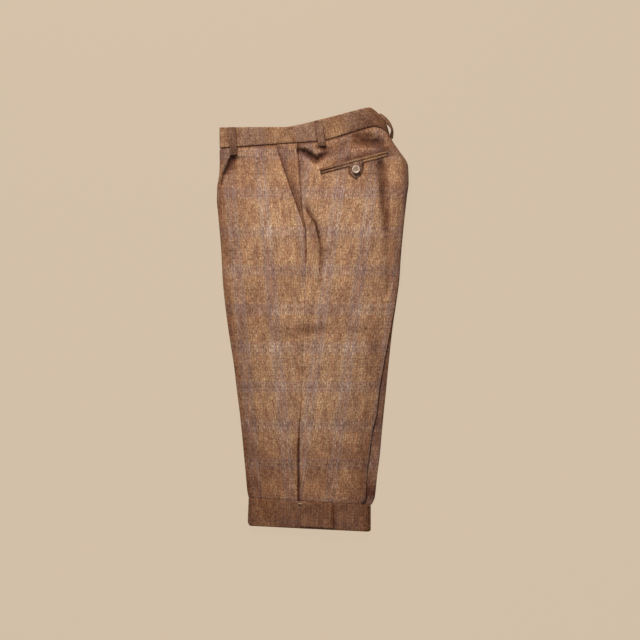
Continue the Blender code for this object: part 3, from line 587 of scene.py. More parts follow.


# ---------------------------------------------------------------- painted shade and painted light on the cloth

# Shade is painted shade: 0 on open cloth, 1 where no light comes, and below 0 it is painted light.
SHADE_POWER = 1.45      # how fast the painted shade darkens
PAINTED_LIGHT_AND_SHADE = (                # x, y, half width, half height, and how dark: painted shade, and painted light below 0
    (70.0, 302.0, 62.0, 34.0, 0.16),
    (120.0, 260.0, 20.0, 26.0, 0.1),
    (-150.0, 279.0, 26.0, 30.0, 0.08),
    (-68.0, 173.0, 30.0, 60.0, -0.11),
    (40.0, 203.0, 46.0, 44.0, -0.09),
    (-51.0, -163.0, 36.0, 110.0, -0.07),
    (48.0, -163.0, 26.0, 60.0, -0.05),
    (-17.0, -23.0, 34.0, 9.0, 0.17),
    (48.0, -23.0, 48.0, 11.0, 0.07),
    (-63.0, -32.0, 40.0, 10.0, 0.09),
)


def darkest(*shades):
    return np.maximum.reduce(np.broadcast_arrays(*shades))


def with_painted_light_and_shade(shade, x, y, s):
    """The shade with more painted shade along both folds, and spots of painted shade and painted
    light from the table.
    """
    row = section(s)
    front, back = x - row["front"], row["back"] - x
    low = smooth(s, 50.0, -10.0)
    turn = 12.0 + 23.0 * smooth(s, -90.0, -10.0)
    flat = 1.0 - 0.5 * fade(s + 215.0, 35.0)
    depth = (shade ** SHADE_POWER + 0.05 * (1.0 + low) * fade(front - 27.0, 20.0)
             + 0.17 * low * flat * fade(back - turn, 15.0))
    for place_x, place_y, wide, high, more in PAINTED_LIGHT_AND_SHADE:
        depth = depth + more * fade(x - place_x, wide) * fade(y - place_y, high)
    return np.where(depth > 0.0, np.abs(depth) ** (1.0 / SHADE_POWER), depth)


def along_line(x, y, start, end):
    """How far along a line each point is, how far to its left, and how far past its ends."""
    length = math.dist(start, end)
    line_x, line_y = (end[0] - start[0]) / length, (end[1] - start[1]) / length
    gone_x, gone_y = x - start[0], y - start[1]
    down = gone_x * line_x + gone_y * line_y
    past = np.maximum(np.maximum(-down, down - length), 0.0)
    return down, gone_y * line_x - gone_x * line_y, past


def beside_loops(x, y):
    """Painted shade close round the belt loops on the side, and a painted shadow below their ends,
    from 0 to 1.
    """
    dark = np.zeros(np.shape(x))
    for ends, lean in ((FRONT_LOOP, 1.0), (SIDE_LOOP, -1.0)):
        down, across, past = along_line(x, y, *ends)
        aside = np.maximum(np.abs(across) - 0.5 * LOOP_WIDTH, 0.0)
        strength = np.where(across * lean > 0.0, 0.65, 0.45)
        under = (past > 0.0) * (down > 0.0) * np.exp(-(past / 6.5) ** 4)
        dark = darkest(dark, strength * fade(np.hypot(aside, past), 2.6),
                       0.72 * under * fade(aside, 2.0))
    return dark


def beside_pocket(x, y):
    """Painted shade in the pocket's slot, close round the jets and tab, and above the upper jet."""
    down, aside, past = along_line(x, y, JET_START, JET_END)
    to_end = JET_LENGTH - down
    away = np.hypot(np.maximum(np.abs(aside) - JET_WIDTH - 0.5 * JET_SLOT, 0.0), past)
    above = np.maximum(aside - JET_WIDTH, 0.0) + 60.0 * (aside < 0.0)
    far = smooth(down, 16.0, 60.0) * smooth(to_end, -14.0, 4.0)
    t = np.clip(-aside / (0.93 * TAB_FALL), 0.0, 1.2)
    half = 0.5 * TAB_WIDTH * np.minimum(1.0, np.maximum((1.0 - t) / 0.4, 0.0) ** 0.85)
    off = np.where(aside < 0.0, np.maximum(np.abs(x - TAB_X) - half, 0.0), FAR)
    in_slot = smooth(down, 0.0, 3.0) * smooth(to_end, 0.0, 3.0)
    return darkest(0.25 * fade(away, 1.8), 0.58 * far * fade(above, 14.0),
                   0.85 * fade(off, 1.7) * smooth(t, 1.1, 1.02),
                   in_slot * smooth(np.abs(aside), 4.5, 2.5))


def seam_faint(s):
    """Down the middle of the leg the side seam is pressed nearly flat."""
    return smooth(s, -190.0, -130.0) * smooth(s, 130.0, 60.0)


def near_folds(x, s):
    """Painted shade as the cloth nears its front and back folds and turns away from the light."""
    row = section(s)
    front, back = np.maximum(x - row["front"], 0.0), np.maximum(row["back"] - x, 0.0)
    high = smooth(s, -120.0, 140.0)
    return 0.4 * fade(front, 16.0) + (0.16 + 0.26 * high) * fade(back, 12.0 + 14.0 * high)


def cavity(x, y, away, depth=0.55):
    """Painted shade deep in folds, pleats and beside a seam, from 0 to 1."""
    sunk = -fold_height(x, y, FINE_FOLDS) - 0.4 * fold_height(x, y, LARGE_FOLDS)
    deep = 0.85 * (1.0 - np.exp(-0.27 * np.maximum(sunk - 0.3, 0.0)))
    deep = deep + np.minimum(0.11 * pleat_height(x, y) ** 2, 0.8)
    return np.clip(deep + depth * fade(away, 1.3), 0.0, 0.95)


# ---------------------------------------------------------------- panels

CLOSEST_TO_S, CLOSER_TO_S = 280.0, 70.0     # the creased upper leg has closer rows
ROWS = np.concatenate([between(BAND_SEAM_S - HALF_GAP, CLOSEST_TO_S, 1.3, True, False),
                       between(CLOSEST_TO_S, CLOSER_TO_S, 2.2, False, False)[1:],
                       between(CLOSER_TO_S, KNEE_SEAM_S + HALF_GAP, 3.7, False, True)[1:]])


def panel(name, node, side, q, s, lift, grain, shade, finish, held=0.0):
    """A wall of cloth on the folded surface, lifted outside and held up inside.

    Its shade is worked out from the x and y of its outer face.
    """
    outer = cloth(side, q, s, lift)
    inner = cloth(side, q, s, np.broadcast_to(held, q.shape) - CLOTH)
    uv = panel_uv(side, q, s, outer, grain)
    dark = np.broadcast_to(shade(outer[..., 0], outer[..., 1]), q.shape)
    return dress(slab(name, outer, inner, uv, dark), finish, [node])


def left_panel(name, before, finish):
    """The upper leg's cloth before or behind its side seam."""
    if before:
        edge, counts, shift = front_edge_x(ROWS), (84, 36, 0.28), 0.0
    else:
        edge, counts, shift = section(ROWS)["seam"] + vent_half_gap(ROWS), (98, 42, 0.23), 5.0
    q, s, x, away = panel_grid("left", ROWS, edge, before, *counts)
    faint = seam_faint(s)
    lift = end_dips(s, 1.2) + seam_dip(away, 1.1) * (1.0 - 0.5 * faint) + pucker(s + shift, away)
    held = front_lift(x, s) if before else 0.0
    if before:
        lift = lift + held
    else:
        ridge = 0.4 + 1.1 * smooth(s, 120.0, 190.0)
        lift = lift + ridge * smooth(away, 0.5, 3.0) * smooth(away, 12.0, 6.0)

    def shade(x, y):
        # painted shade in folds, beside seams, loops and the pocket, near the leg's folds and under
        # the waistband seam
        to_seam = np.minimum(BAND_SEAM_S - s, 3.0 * (s - KNEE_SEAM_S))
        dark = darkest(cavity(x, y, np.minimum(to_seam, away + 2.0 * faint)), beside_loops(x, y),
                       near_folds(x, s), 0.75 * fade(BAND_SEAM_S - s, 2.6))
        if before:
            return with_painted_light_and_shade(dark, x, y, s)
        beside_seam = 0.3 * smooth(s, 190.0, 240.0) * fade(away, 9.0)
        dark = with_painted_light_and_shade(darkest(dark, beside_seam, beside_pocket(x, y)), x, y, s)
        # painted light on the back fold's roll down the lower leg
        return dark - 0.2 * smooth(q, 1.0, 1.08) * smooth(s, 40.0, -40.0)

    grain = GRAIN_FRONT if before else GRAIN_BACK
    return panel(name, "left_" + name, "left", q, s, lift, grain, shade, finish, held)


def right_panel(name, before, finish):
    """The lower leg's cloth before or behind its side seam."""
    s = between(BAND_SEAM_S - HALF_GAP, KNEE_SEAM_S + HALF_GAP, 6.0)
    edge = section(s)["seam"] + (-HALF_GAP if before else HALF_GAP)
    q, s, _, away = panel_grid("right", s, edge, before, 16 if before else 18)

    def shade(x, y):
        if before:
            return 0.0
        # painted shade on the strip beside the upper leg's back fold, with a deeper spot just above
        # the knee band
        return 0.13 + 0.36 * smooth(s, -270.0, -185.0) + 0.5 * fade(s + 318.0, 12.0)

    return panel(name, name.replace("under", "right"), "right", q, s,
                 seam_dip(away, 0.9) + end_dips(s, 0.9),
                 GRAIN_FRONT if before else GRAIN_BACK, shade, finish)


def pocket_bearer(finish):
    s = between(BAND_SEAM_S - HALF_GAP, POCKET_END_S + 2.0, 3.0, True, False)
    seam = section(s)["seam"] - HALF_GAP
    start = np.minimum(mouth_x(s) - BEARER_UNDER, seam - 7.0)
    x = across_rows(start, seam, True, 14)
    away = seam[:, None] - x
    s = np.broadcast_to(s[:, None], x.shape)
    to_mouth = np.maximum(x - mouth_x(s), 0.0)

    def shade(x, y):
        # painted shadow of the front panel's edge along the pocket mouth, and painted shade in
        # folds and beside seams
        return darkest(cavity(x, y, np.minimum(away, BAND_SEAM_S - s)),
                       0.8 * fade(to_mouth, 2.4), 0.5 * fade(to_mouth, 17.0))

    lift = seam_dip(away, 1.1) + pucker(s, away) + seam_dip(BAND_SEAM_S - s, 1.2)
    return panel("pocket_bearer", "left_pocket_bearer", "left", q_of("left", x, s), s, lift,
                 GRAIN_BEARER, shade, finish)


def vent_underlap(finish):
    s = between(VENT_TOP_S + 9.0, KNEE_SEAM_S + HALF_GAP, 5.0, False, False)[:, None]
    x, s = np.broadcast_arrays(np.linspace(*UNDERLAP_X, 13), s)
    below = np.full(x.shape, -CLOTH - PIECE_GAP)
    # painted shade: the underlap lies dark in the vent's slit
    return panel("vent_underlap_piece", "left_vent_underlap", "left", q_of("left", x, s), s,
                 below, GRAIN_BACK, lambda x, y: 0.75, finish, below)


BAND_ROUND = 320.0      # about the waistband's way from fold to fold
BAND_COLUMNS = {"left": 120, "right": 50}


def waistband(side, finish):
    upper = side == "left"
    s = between(WAIST_S, BAND_SEAM_S + HALF_GAP, 3.0)
    line = np.concatenate([ROUND_FRONT, np.linspace(0.0, 1.0, BAND_COLUMNS[side]), ROUND_BACK])
    q, s = np.broadcast_arrays(line, s[:, None])
    from_top, from_seam = WAIST_S - s, s - BAND_SEAM_S
    window = smooth(q, 0.0, 0.06) * smooth(q, 1.0, 0.94) * upper
    lift = (BAND_PROUD * window + seam_dip(from_top, 1.3, 1.1) + seam_dip(from_seam, 1.7)
            + pucker(q * BAND_ROUND, from_seam, 8.0, 0.1) * window)
    outer = cloth(side, q, s, lift)
    inner = cloth(side, q, s, -BAND_WALL - seam_dip(from_top, 1.1, 1.1))
    steps = np.linalg.norm(np.diff(outer[len(s) // 2], axis=0), axis=1)
    uv = thread_map(np.concatenate([[0.0], np.cumsum(steps)]) + 6.0, s)
    # painted shade under the band's seam, round the belt loops, toward its back end and by the side
    # loop
    shade = 0.75 * fade(from_seam, 1.4)
    if upper:
        x = outer[..., 0]
        shade = darkest(shade, 0.8 * beside_loops(x, outer[..., 1]) * window,
                        0.42 * smooth(x, 30.0, 118.0), 0.18 * fade(x - 10.0, 20.0))
    made = slab(side + "_band_cloth", outer, inner, uv, shade)
    return dress(made, finish, [side + "_waistband"])


# ---------------------------------------------------------------- knee bands

CUFF_LEAN = 5.0         # of the upper band's back end over the lower one
CUFF_HEM_ROLL = 0.95
CUFF_SPLIT = 0.62       # of the way round, where the count of threads starts again
CUFF_UPPER_Z = 8.0      # above this is the band's upper wall


def cuff_ends(side, row):
    """Where the flattened band's top turns over, and its radius."""
    step = RIGHT_FRONT_STEP if side == "right" else 0.0
    radius = front_radius(row)
    corner = np.maximum(row["front"] - section(KNEE_SEAM_S)["front"], 0.0)
    return row["front"] + step + radius, CUFF_BACK[side] - 0.8 * corner - radius, radius


def cuff_ring(side, s, wall):
    """Outline of a flattened knee band on one section, so far in from its face."""
    row = section(s)
    middle = 0.5 * row["front_h"]
    begin, end, radius = cuff_ends(side, row)
    x_top = np.linspace(begin, end, 76)
    if side == "left":
        low, lean = middle + HALF_GAP, CUFF_LEAN
        z_top = pile_height(x_top, place_y(x_top, row), row, begin, end)
    else:
        low, lean = 0.0, 0.0
        z_top = np.full(x_top.shape, middle - HALF_GAP)
    angle = np.radians(np.linspace(0.0, 180.0, 9)[1:-1])
    inner_r = radius - wall
    x_back = end + inner_r * np.sin(angle) + 0.5 * lean * (1.0 - np.cos(angle))
    z_turn = low + radius + inner_r * np.cos(angle)
    x_low = np.linspace(end + lean, begin, 40)
    x_front = begin - inner_r * np.sin(angle[::-1])
    x = np.concatenate([x_top, x_back, x_low, x_front])
    z = np.concatenate([z_top - wall, z_turn, np.full(len(x_low), low + wall), z_turn[::-1]])
    return np.stack([x, place_y(x, row), z], axis=-1)


def knee_band(side, finish):
    """A flattened tube of two rounded walls."""
    levels = between(KNEE_SEAM_S - HALF_GAP, HEM_S, 3.6)
    hem_roll = CUFF_HEM_ROLL * fade(levels - HEM_S, 0.9)
    dips = 0.5 * fade(KNEE_SEAM_S - levels, 1.2) + hem_roll
    outside = np.stack([cuff_ring(side, s, dip) for s, dip in zip(levels, dips)])
    inside = np.stack([cuff_ring(side, s, CUFF_WALL - dip)
                       for s, dip in zip(levels, np.clip(hem_roll, 0.0, 0.9))])
    rows, count = outside.shape[:2]
    index = np.arange(2 * rows * count).reshape(2, rows, count)
    faces = bands(index[0]) + bands(index[1]) + bands(index[:, 0]) + bands(index[:, -1])
    ring = outside[rows // 2]
    gone = np.cumsum(np.linalg.norm(ring - np.roll(ring, 1, axis=0), axis=1))
    period = gone[-1]
    across = np.where(gone > CUFF_SPLIT * period, gone - period, gone) + 11.0
    uv = thread_map(across, levels[:, None])
    x = outside[..., 0]
    # painted shade beside the tab's end on the upper wall and toward both ends of the band; the
    # inside walls get full painted shade
    shade = np.zeros(x.shape)
    if side == "left":
        to_end = np.maximum(np.minimum(x - x.min(), CUFF_BACK["left"] - x), 0.0)
        shade = darkest(0.35 * fade(x - KNEE_TAB_X[1], 4.5) * (outside[..., 2] > CUFF_UPPER_Z),
                        0.24 * fade(to_end, 14.0))
    shade = np.concatenate([shade.ravel(), np.ones(rows * count)])
    points = np.concatenate([outside.reshape(-1, 3), inside.reshape(-1, 3)])
    flat_uv = np.concatenate([uv.reshape(-1, 2)] * 2)
    made = mesh_object(side + "_cuff", points, faces, flat_uv, shade, period * MM)
    return dress(made, finish, [side + "_knee_band"])


def cuff_top(x, s):
    row = section(s)
    begin, end, _ = cuff_ends("left", row)
    return pile_height(x, place_y(x, row), row, begin, end)


def knee_tab(finish):
    front, back = KNEE_TAB_X
    top, bottom = KNEE_SEAM_S - 3.0, HEM_S + 3.0
    x, s = np.meshgrid(between(front, back, 3.0), between(top, bottom, 3.6))
    roll = (rounded(x - front) + rounded(back - x, 1.2, 2.6)
            + rounded(top - s) + rounded(s - bottom))
    under = cuff_top(x, s) + PIECE_GAP
    y = place_y(x, section(s))
    raised = smooth(x, 20.0, back)
    lift = CUFF_WALL + np.maximum(roll, -1.2) + 0.5 * raised
    outer = np.stack([x, y, under + lift], axis=-1)
    inner = np.stack([x, y, under + 0.2 * raised], axis=-1)
    # painted shade along the tab's back end
    made = slab("cuff_tab", outer, inner, thread_map(x + 201.0, s + 9.0), 0.3 * fade(back - x, 4.0))
    return dress(made, finish, ["knee_tab"])


# ---------------------------------------------------------------- belt loops

SIDE_STEPS = np.array([-0.5, -0.47, -0.42, -0.34, -0.2, 0.0, 0.2, 0.34, 0.42, 0.47, 0.5])
LOOP_LENGTH = 52.0


def belt_loop(name, top, bottom, dim, finish, node):
    """A loop whose tacked ends lie flat and whose middle bows."""
    t = np.concatenate([[0, .012, .03, .055], np.linspace(.085, .915, 24), [.945, .97, .988, 1]])
    t, side = np.meshgrid(t, SIDE_STEPS, indexing="ij")
    x = top[0] + (bottom[0] - top[0]) * t
    y = top[1] + (bottom[1] - top[1]) * t
    on_band = smooth(s_at(x, y), BAND_SEAM_S - 5.0, BAND_SEAM_S)
    lift = 0.5 + BAND_PROUD * on_band + LOOP_BOW * np.sin(np.pi * t) ** 2
    tacks = fade(t - 0.075, 0.03) + fade(t - 0.925, 0.03)
    edge = (0.5 - np.abs(side)) * LOOP_WIDTH
    roll = (rounded(t * LOOP_LENGTH) + rounded((1.0 - t) * LOOP_LENGTH)
            + rounded(edge, 0.8, 0.8))
    outer = on_leg(x + LOOP_WIDTH * side, y,
                   lift + LOOP_WALL + np.maximum(roll, -1.2) - 0.45 * tacks)
    inner = on_leg(x + LOOP_WIDTH * side, y, lift)
    uv = thread_map(side * LOOP_WIDTH + 83.0, top[0] - t * math.dist(top, bottom))
    # painted shade at the tacks and along the loop's edges; dim darkens the whole loop evenly
    shade = darkest(0.45 * tacks * (np.abs(side) < 0.45), 0.3 * fade(edge, 1.0), dim)
    return dress(slab(name, outer, inner, uv, shade), finish, [node])


# Centre back loop: x and y of its outer face, and how far its upper edge leans in
BACK_LOOP = ((127.4, 392.2, 4.5), (131.2, 390.3, 7.5), (136.2, 386.9, 9.5),
             (141.3, 382.3, 9.5), (146.5, 376.0, 8.5), (150.3, 368.8, 5.4),
             (153.0, 361.4, 3.6), (153.8, 354.7, 4.2), (153.4, 348.5, 6.5),
             (152.8, 342.4, 8.0))
BACK_LOOP_UP = 3.0


def back_belt_loop(finish):
    """The loop at the centre back hugs the fold at its ends and stands off between them."""
    path = np.array(BACK_LOOP)
    along = np.concatenate([[0.0], np.cumsum(np.hypot(*np.diff(path[:, :2], axis=0).T))])
    places = between(0.0, along[-1], 2.2)
    x, y, lean = (np.interp(places, along, path[:, k]) for k in range(3))
    for line in (x, y) * 3:
        line[1:-1] = 0.25 * line[:-2] + 0.5 * line[1:-1] + 0.25 * line[2:]
    dx, dy = np.gradient(x, places), np.gradient(y, places)
    size = np.hypot(dx, dy)
    inward = np.stack([dy / size, -dx / size, np.zeros(len(x))], axis=-1)[:, None]
    z = 0.5 * float(section(BAND_SEAM_S)["back_h"]) + BACK_LOOP_UP + LOOP_WIDTH * SIDE_STEPS
    bend = lean[:, None] * (SIDE_STEPS + 0.5) ** 1.3
    face = np.stack(np.broadcast_arrays(x[:, None], y[:, None], z), axis=-1)
    face = face + inward * bend[..., None]
    edge = (0.5 - np.abs(SIDE_STEPS)) * LOOP_WIDTH
    ends = np.minimum(places, places[-1] - places)
    roll = np.maximum(rounded(edge, 0.7) + rounded(ends, 0.7)[:, None], -0.9)[..., None]
    s, side = np.meshgrid(places, SIDE_STEPS, indexing="ij")
    # an even darkening, and painted shade along the loop's upper, leaning edge near its top end
    shade = 0.2 + 0.5 * smooth(side, 0.2, 0.5) * smooth(s, 34.0, 20.0)
    made = slab("seat_loop", face - inward * roll, face + inward * (LOOP_WALL + 0.3 * roll),
                thread_map(side * LOOP_WIDTH + 61.0, s + 7.0), shade)
    return dress(made, finish, ["back_belt_loop"])


# ---------------------------------------------------------------- back pocket

LAID = 0.4              # under the jets
TAB_SEWN_IN = 2.2       # from the tab's edge to its stitching


def pocket_jet(name, sign, finish, node):
    """A welt of folded cloth with its fold at the slot and its other edge sewn down."""
    k = np.array([0.0, 0.03, 0.08, 0.16, 0.3, 0.5, 0.7, 0.85, 0.93, 1.0])
    d, k = np.meshgrid(between(0.0, JET_LENGTH, 2.4), k, indexing="ij")
    inset = 0.5 * JET_SLOT + 0.15 * np.sin(d / 9.0) * (k < 0.2)
    offset = sign * (inset + JET_WIDTH * k)
    x, y = (JET_START[i] + JET_ALONG[i] * d + JET_ACROSS[i] * offset for i in (0, 1))
    to_sewn = (1.0 - k) * JET_WIDTH
    roll = (rounded(d, 0.8) + rounded(JET_LENGTH - d, 0.8) + rounded(k * JET_WIDTH, 0.7, 0.6)
            + rounded(to_sewn, 1.1, 1.2))
    swell = 0.45 * np.sin(np.pi * k) ** 0.8
    # the shade darkens the jet evenly and adds painted shade along its sewn edge
    made = slab(name, on_leg(x, y, LAID + JET_WALL + swell + np.maximum(roll, -1.25)),
                on_leg(x, y, LAID), thread_map(d + 40.0, offset + 15.0),
                0.2 + 0.25 * fade(to_sewn, 0.8))
    return dress(made, finish, [node])


def tab_lift(y_below):
    over_jet = smooth(y_below, JET_WIDTH + 7.0, JET_WIDTH + 1.0)
    return LAID + (JET_WALL + 0.75) * over_jet


def pocket_tab(finish):
    """The pointed tab, given by t down it and side across it."""
    t = np.concatenate([[0.0, 0.03, 0.07], np.linspace(0.12, 0.9, 20), [.925, .95, .97, .985, 1]])
    t, side = np.meshgrid(t, SIDE_STEPS, indexing="ij")
    width = TAB_WIDTH * np.minimum(1.0, np.maximum((1.0 - t) / 0.4, 0.06) ** 0.85)
    x = TAB_X + side * width
    y = SLOT_Y - TAB_FALL * t + JET_SLOPE * (1.0 - t) * (x - TAB_X)
    edge = (0.5 - np.abs(side)) * width
    roll = np.maximum(rounded(edge, 0.8, 0.8) + rounded((1.0 - t) * TAB_FALL, 0.8), -1.0)
    sewn = fade(edge - TAB_SEWN_IN, 0.6)
    lift = tab_lift(TAB_FALL * t)
    # painted shade along the tab's edges and its line of stitching
    made = slab("button_tab", on_leg(x, y, lift + TAB_WALL + roll - 0.25 * sewn * (t > 0.1)),
                on_leg(x, y, lift), thread_map(x + 3.0, y + 14.0),
                darkest(0.3 * sewn, 0.5 * fade(edge, 0.9)))
    return dress(made, finish, ["pocket_tab"])


def button_frame():
    """Foot of the button on the tab and the way it faces."""
    below = BUTTON_FALL - BUTTON_RADIUS
    foot, low, high = (on_leg(TAB_X, BUTTON_Y, h).reshape(3)
                       for h in (tab_lift(below) + TAB_WALL + 0.5, 0.0, 10.0))
    return foot, (high - low) / np.linalg.norm(high - low)


BUTTON_PROFILE = ((0.0, 0.0), (0.6, 0.0), (0.84, 0.04), (0.95, 0.16), (1.0, 0.36), (1.0, 0.6),
                  (0.975, 0.8), (0.93, 0.93), (0.87, 0.985), (0.8, 0.96), (0.73, 0.88),
                  (0.66, 0.74), (0.58, 0.64), (0.46, 0.6), (0.0, 0.58))
BUTTON_SIDES = 64
HOLE_PITCH = 1.75
HOLE_RADIUS = 0.85


def seated(name, work):
    """The work's mesh as an object on the button's foot, facing out."""
    mesh = bpy.data.meshes.new(name)
    work.to_mesh(mesh)
    work.free()
    obj = linked(name, mesh)
    foot, out = button_frame()
    obj.rotation_mode = "QUATERNION"
    obj.rotation_quaternion = Vector(out).to_track_quat("Z", "Y")
    obj.location = Vector(foot) * MM
    return obj


def hole_cutter():
    work = bmesh.new()
    for k in range(4):
        a = math.radians(45 + 90 * k)
        made = bmesh.ops.create_cone(work, cap_ends=True, segments=20,
                                     radius1=HOLE_RADIUS * MM, radius2=HOLE_RADIUS * MM,
                                     depth=3 * BUTTON_THICK * MM)
        shift = Vector((math.cos(a), math.sin(a), 0.0)) * HOLE_PITCH * MM * math.sqrt(2.0)
        bmesh.ops.translate(work, verts=made["verts"], vec=shift)
    cutter = seated("holes", work)
    cutter.hide_render = True
    cutter.hide_viewport = True
    return cutter


def pocket_button(finish):
    """Four-hole horn button, dished inside its rim."""
    work = bmesh.new()
    rings = []
    for r, z in BUTTON_PROFILE:
        r, z = r * BUTTON_RADIUS * MM, z * BUTTON_THICK * MM
        turns = [2.0 * math.pi * k / BUTTON_SIDES for k in range(BUTTON_SIDES if r else 1)]
        rings.append([work.verts.new((r * math.cos(a), r * math.sin(a), z)) for a in turns])
    for lower, upper in zip(rings, rings[1:]):
        for k in range(BUTTON_SIDES):
            n = (k + 1) % BUTTON_SIDES
            corners = [lower[k % len(lower)], lower[n % len(lower)],
                       upper[n % len(upper)], upper[k % len(upper)]]
            work.faces.new(list(dict.fromkeys(corners)))
    bmesh.ops.recalc_face_normals(work, faces=work.faces)
    button = seated("horn_button", work)
    smoothed(button.data, 50.0)
    cut = button.modifiers.new("holes", "BOOLEAN")
    cut.operation = "DIFFERENCE"
    cut.object = hole_cutter()
    return dress(button, finish, ["pocket_button"])


# ---------------------------------------------------------------- hidden layers

INNER_BOTTOM_S = -326.0
INNER_TOP_S = 358.5
INNER_MARGIN = 1.6
INNER_LAYERS = 4
INNER_NOSE = 4.0
INNER_CLEAR = 9.0
UNDERLAP_ROOM = (56.0, 36.0)        # beside the underlap, where the layers lie lower for it
INNER_FULL = 0.92       # of the way across, the layers keep their full height
INNER_REACH = [(x, y) for x in (-24.0, -12.0, 0.0, 12.0, 24.0)
               for y in (-20.0, -10.0, 0.0, 10.0, 20.0)]


def inner_cover(s):
    return CLOTH + PIECE_GAP + (BAND_WALL + INNER_MARGIN - CLOTH) * smooth(s, 270.0, 300.0)


def inner_top(x, s):
    """Highest place for the inner layers under the upper leg."""
    row = section(s)
    y = place_y(x, row)
    deepest = np.minimum.reduce([all_folds(x + dx, y + dy) for dx, dy in INNER_REACH])
    beside = np.maximum(UNDERLAP_X[0] - x, x - UNDERLAP_X[1])
    under = smooth(beside, *UNDERLAP_ROOM) * smooth(s, VENT_TOP_S + 90.0, VENT_TOP_S + 50.0)
    return (plain_height(x, row, *flat_ends("left", s)) + np.minimum(deepest, 0.0)
            - inner_cover(s) - INNER_MARGIN - under * (CLOTH + PIECE_GAP))


def inner_layers(finish):
    """All the hidden cloth between the outer panels, with its folded edges at the waist."""
    u = np.concatenate([np.linspace(0.0, INNER_FULL, 36), np.linspace(INNER_FULL, 1.0, 6)[1:]])
    u, s = np.meshgrid(u, np.linspace(INNER_BOTTOM_S, INNER_TOP_S, 90), indexing="ij")
    row = section(s)
    front, back, front_r, back_r, _, tail = wraps("left", row)
    rolled = (180.0 - row["turn"]) / 90.0
    begin = front + front_r + FRONT_TAIL + 2.5
    end = back - back_r - tail - added_tail(tail) - INNER_CLEAR
    past = np.maximum(u - INNER_FULL, 0.0) / (1.0 - INNER_FULL)
    x = (begin + (end - begin) * np.minimum(u / INNER_FULL, 1.0)
         + (3.0 + 0.4 * back_r * rolled) * past)
    y = place_y(x, row)
    top, floor = inner_top(x, s), inner_cover(s)
    middle = 0.5 * (top + floor)
    half = 0.5 * (top - floor) * (1.0 - (0.2 + 0.35 * rolled) * past)
    upper = np.stack([x, y, middle + half], axis=-1)
    lower = np.stack([x, y, middle - half], axis=-1)
    down = np.linspace(0.0, 1.0, INNER_LAYERS * 8 + 1)[1:-1, None]
    inside = 2.0 * (down * INNER_LAYERS % 1.0) - 1.0
    out = INNER_NOSE * np.sqrt(1.0 - inside ** 2) * np.array([0.0, 1.0, 0.0])
    nose = upper[:, -1:] + (lower[:, -1:] - upper[:, -1:]) * down + out
    loops = np.concatenate([upper, nose, lower[:, ::-1]], axis=1)
    columns, count = loops.shape[:2]
    index = np.arange(columns * count).reshape(columns, count)
    faces = bands(index)
    rows = upper.shape[1]
    for loop in index[[0, -1]]:
        left, right = loop[:rows], loop[::-1][:rows]
        faces += np.stack([left[:-1], left[1:], right[1:], right[:-1]], axis=-1).tolist()
        faces.append(loop[rows - 1:count - rows + 1].tolist())
    uv = thread_map(loops[..., 0], loops[..., 1] + 3.0 * loops[..., 2])
    # the hidden layers get full painted shade
    made = mesh_object("hidden_layers", loops.reshape(-1, 3), faces, uv.reshape(-1, 2), 1.0)
    return dress(made, finish, ["inner_layers"])


# ---------------------------------------------------------------- sewing

TUBE_SIDES = 6
STITCH_SUNK = 0.25      # of a stitch's feet in the cloth


def tubes(name, lines, radius, finish):
    """Short threads, each a round tube along its line of points."""
    turns = (np.arange(TUBE_SIDES) * 2.0 * np.pi / TUBE_SIDES)[:, None]
    points, faces = [], []
    for line in lines:
        line = np.asarray(line, float)
        along = np.gradient(line, axis=0)
        along /= np.linalg.norm(along, axis=1, keepdims=True)
        other = np.cross(along, np.array([0.0, 0.0, 1.0]))
        weak = np.linalg.norm(other, axis=1) < 0.1
        other[weak] = np.cross(along[weak], np.array([1.0, 0.0, 0.0]))
        other /= np.linalg.norm(other, axis=1, keepdims=True)
        third = np.cross(along, other)
        ring = other[:, None] * np.cos(turns) + third[:, None] * np.sin(turns)
        index = len(points) + np.arange(ring.size // 3).reshape(-1, TUBE_SIDES)
        points += (line[:, None] + radius * ring).reshape(-1, 3).tolist()
        faces += bands(index) + [index[0, ::-1].tolist(), index[-1].tolist()]
    return dress(mesh_object(name, points, faces, np.array(points)[:, :2] * MM), finish)


def stitch(start, end, lift, rise):
    """Points of a stitch on the leg that comes up out of the cloth and goes down again."""
    t = np.linspace(0.0, 1.0, 7)[:, None]
    start, end = on_leg(*np.transpose([start, end]), lift)
    up = np.array([0.0, 0.0, 1.0]) * rise * np.sin(np.pi * t) ** 0.6
    return start + (end - start) * t + up - np.array([0.0, 0.0, STITCH_SUNK])


def bar_tack(start, end, width, lift):
    """Close stitches across a line from one end to the other."""
    start, end = np.array(start), np.array(end)
    length = math.dist(start, end)
    gone = end - start
    across = np.array([-gone[1], gone[0]]) / length * 0.5 * width
    count = max(int(length / 0.55), 3)
    return [stitch(start + gone * t - across, start + gone * t + across, lift, 0.45)
            for t in np.linspace(0.0, 1.0, count)]


def buttonhole_stitches():
    """Close stitches round the tab's buttonhole, which shows above and below the button."""
    x, top, bottom = TAB_X, BUTTON_Y + 4.0, BUTTON_Y - 13.5
    clear = TAB_WALL + 0.05
    sides = [stitch((x + side * 0.25, y), (x + side * 1.9, y),
                    float(tab_lift(SLOT_Y - y)) + clear, 0.4)
             for y in np.arange(bottom, top, 0.62) for side in (-1.0, 1.0)]
    lift = float(tab_lift(SLOT_Y - bottom)) + clear
    end = [stitch((x + offset, bottom - 0.3), (x + offset * 1.1, bottom - 2.0), lift, 0.4)
           for offset in np.arange(-1.7, 1.8, 0.55)]
    return sides + end


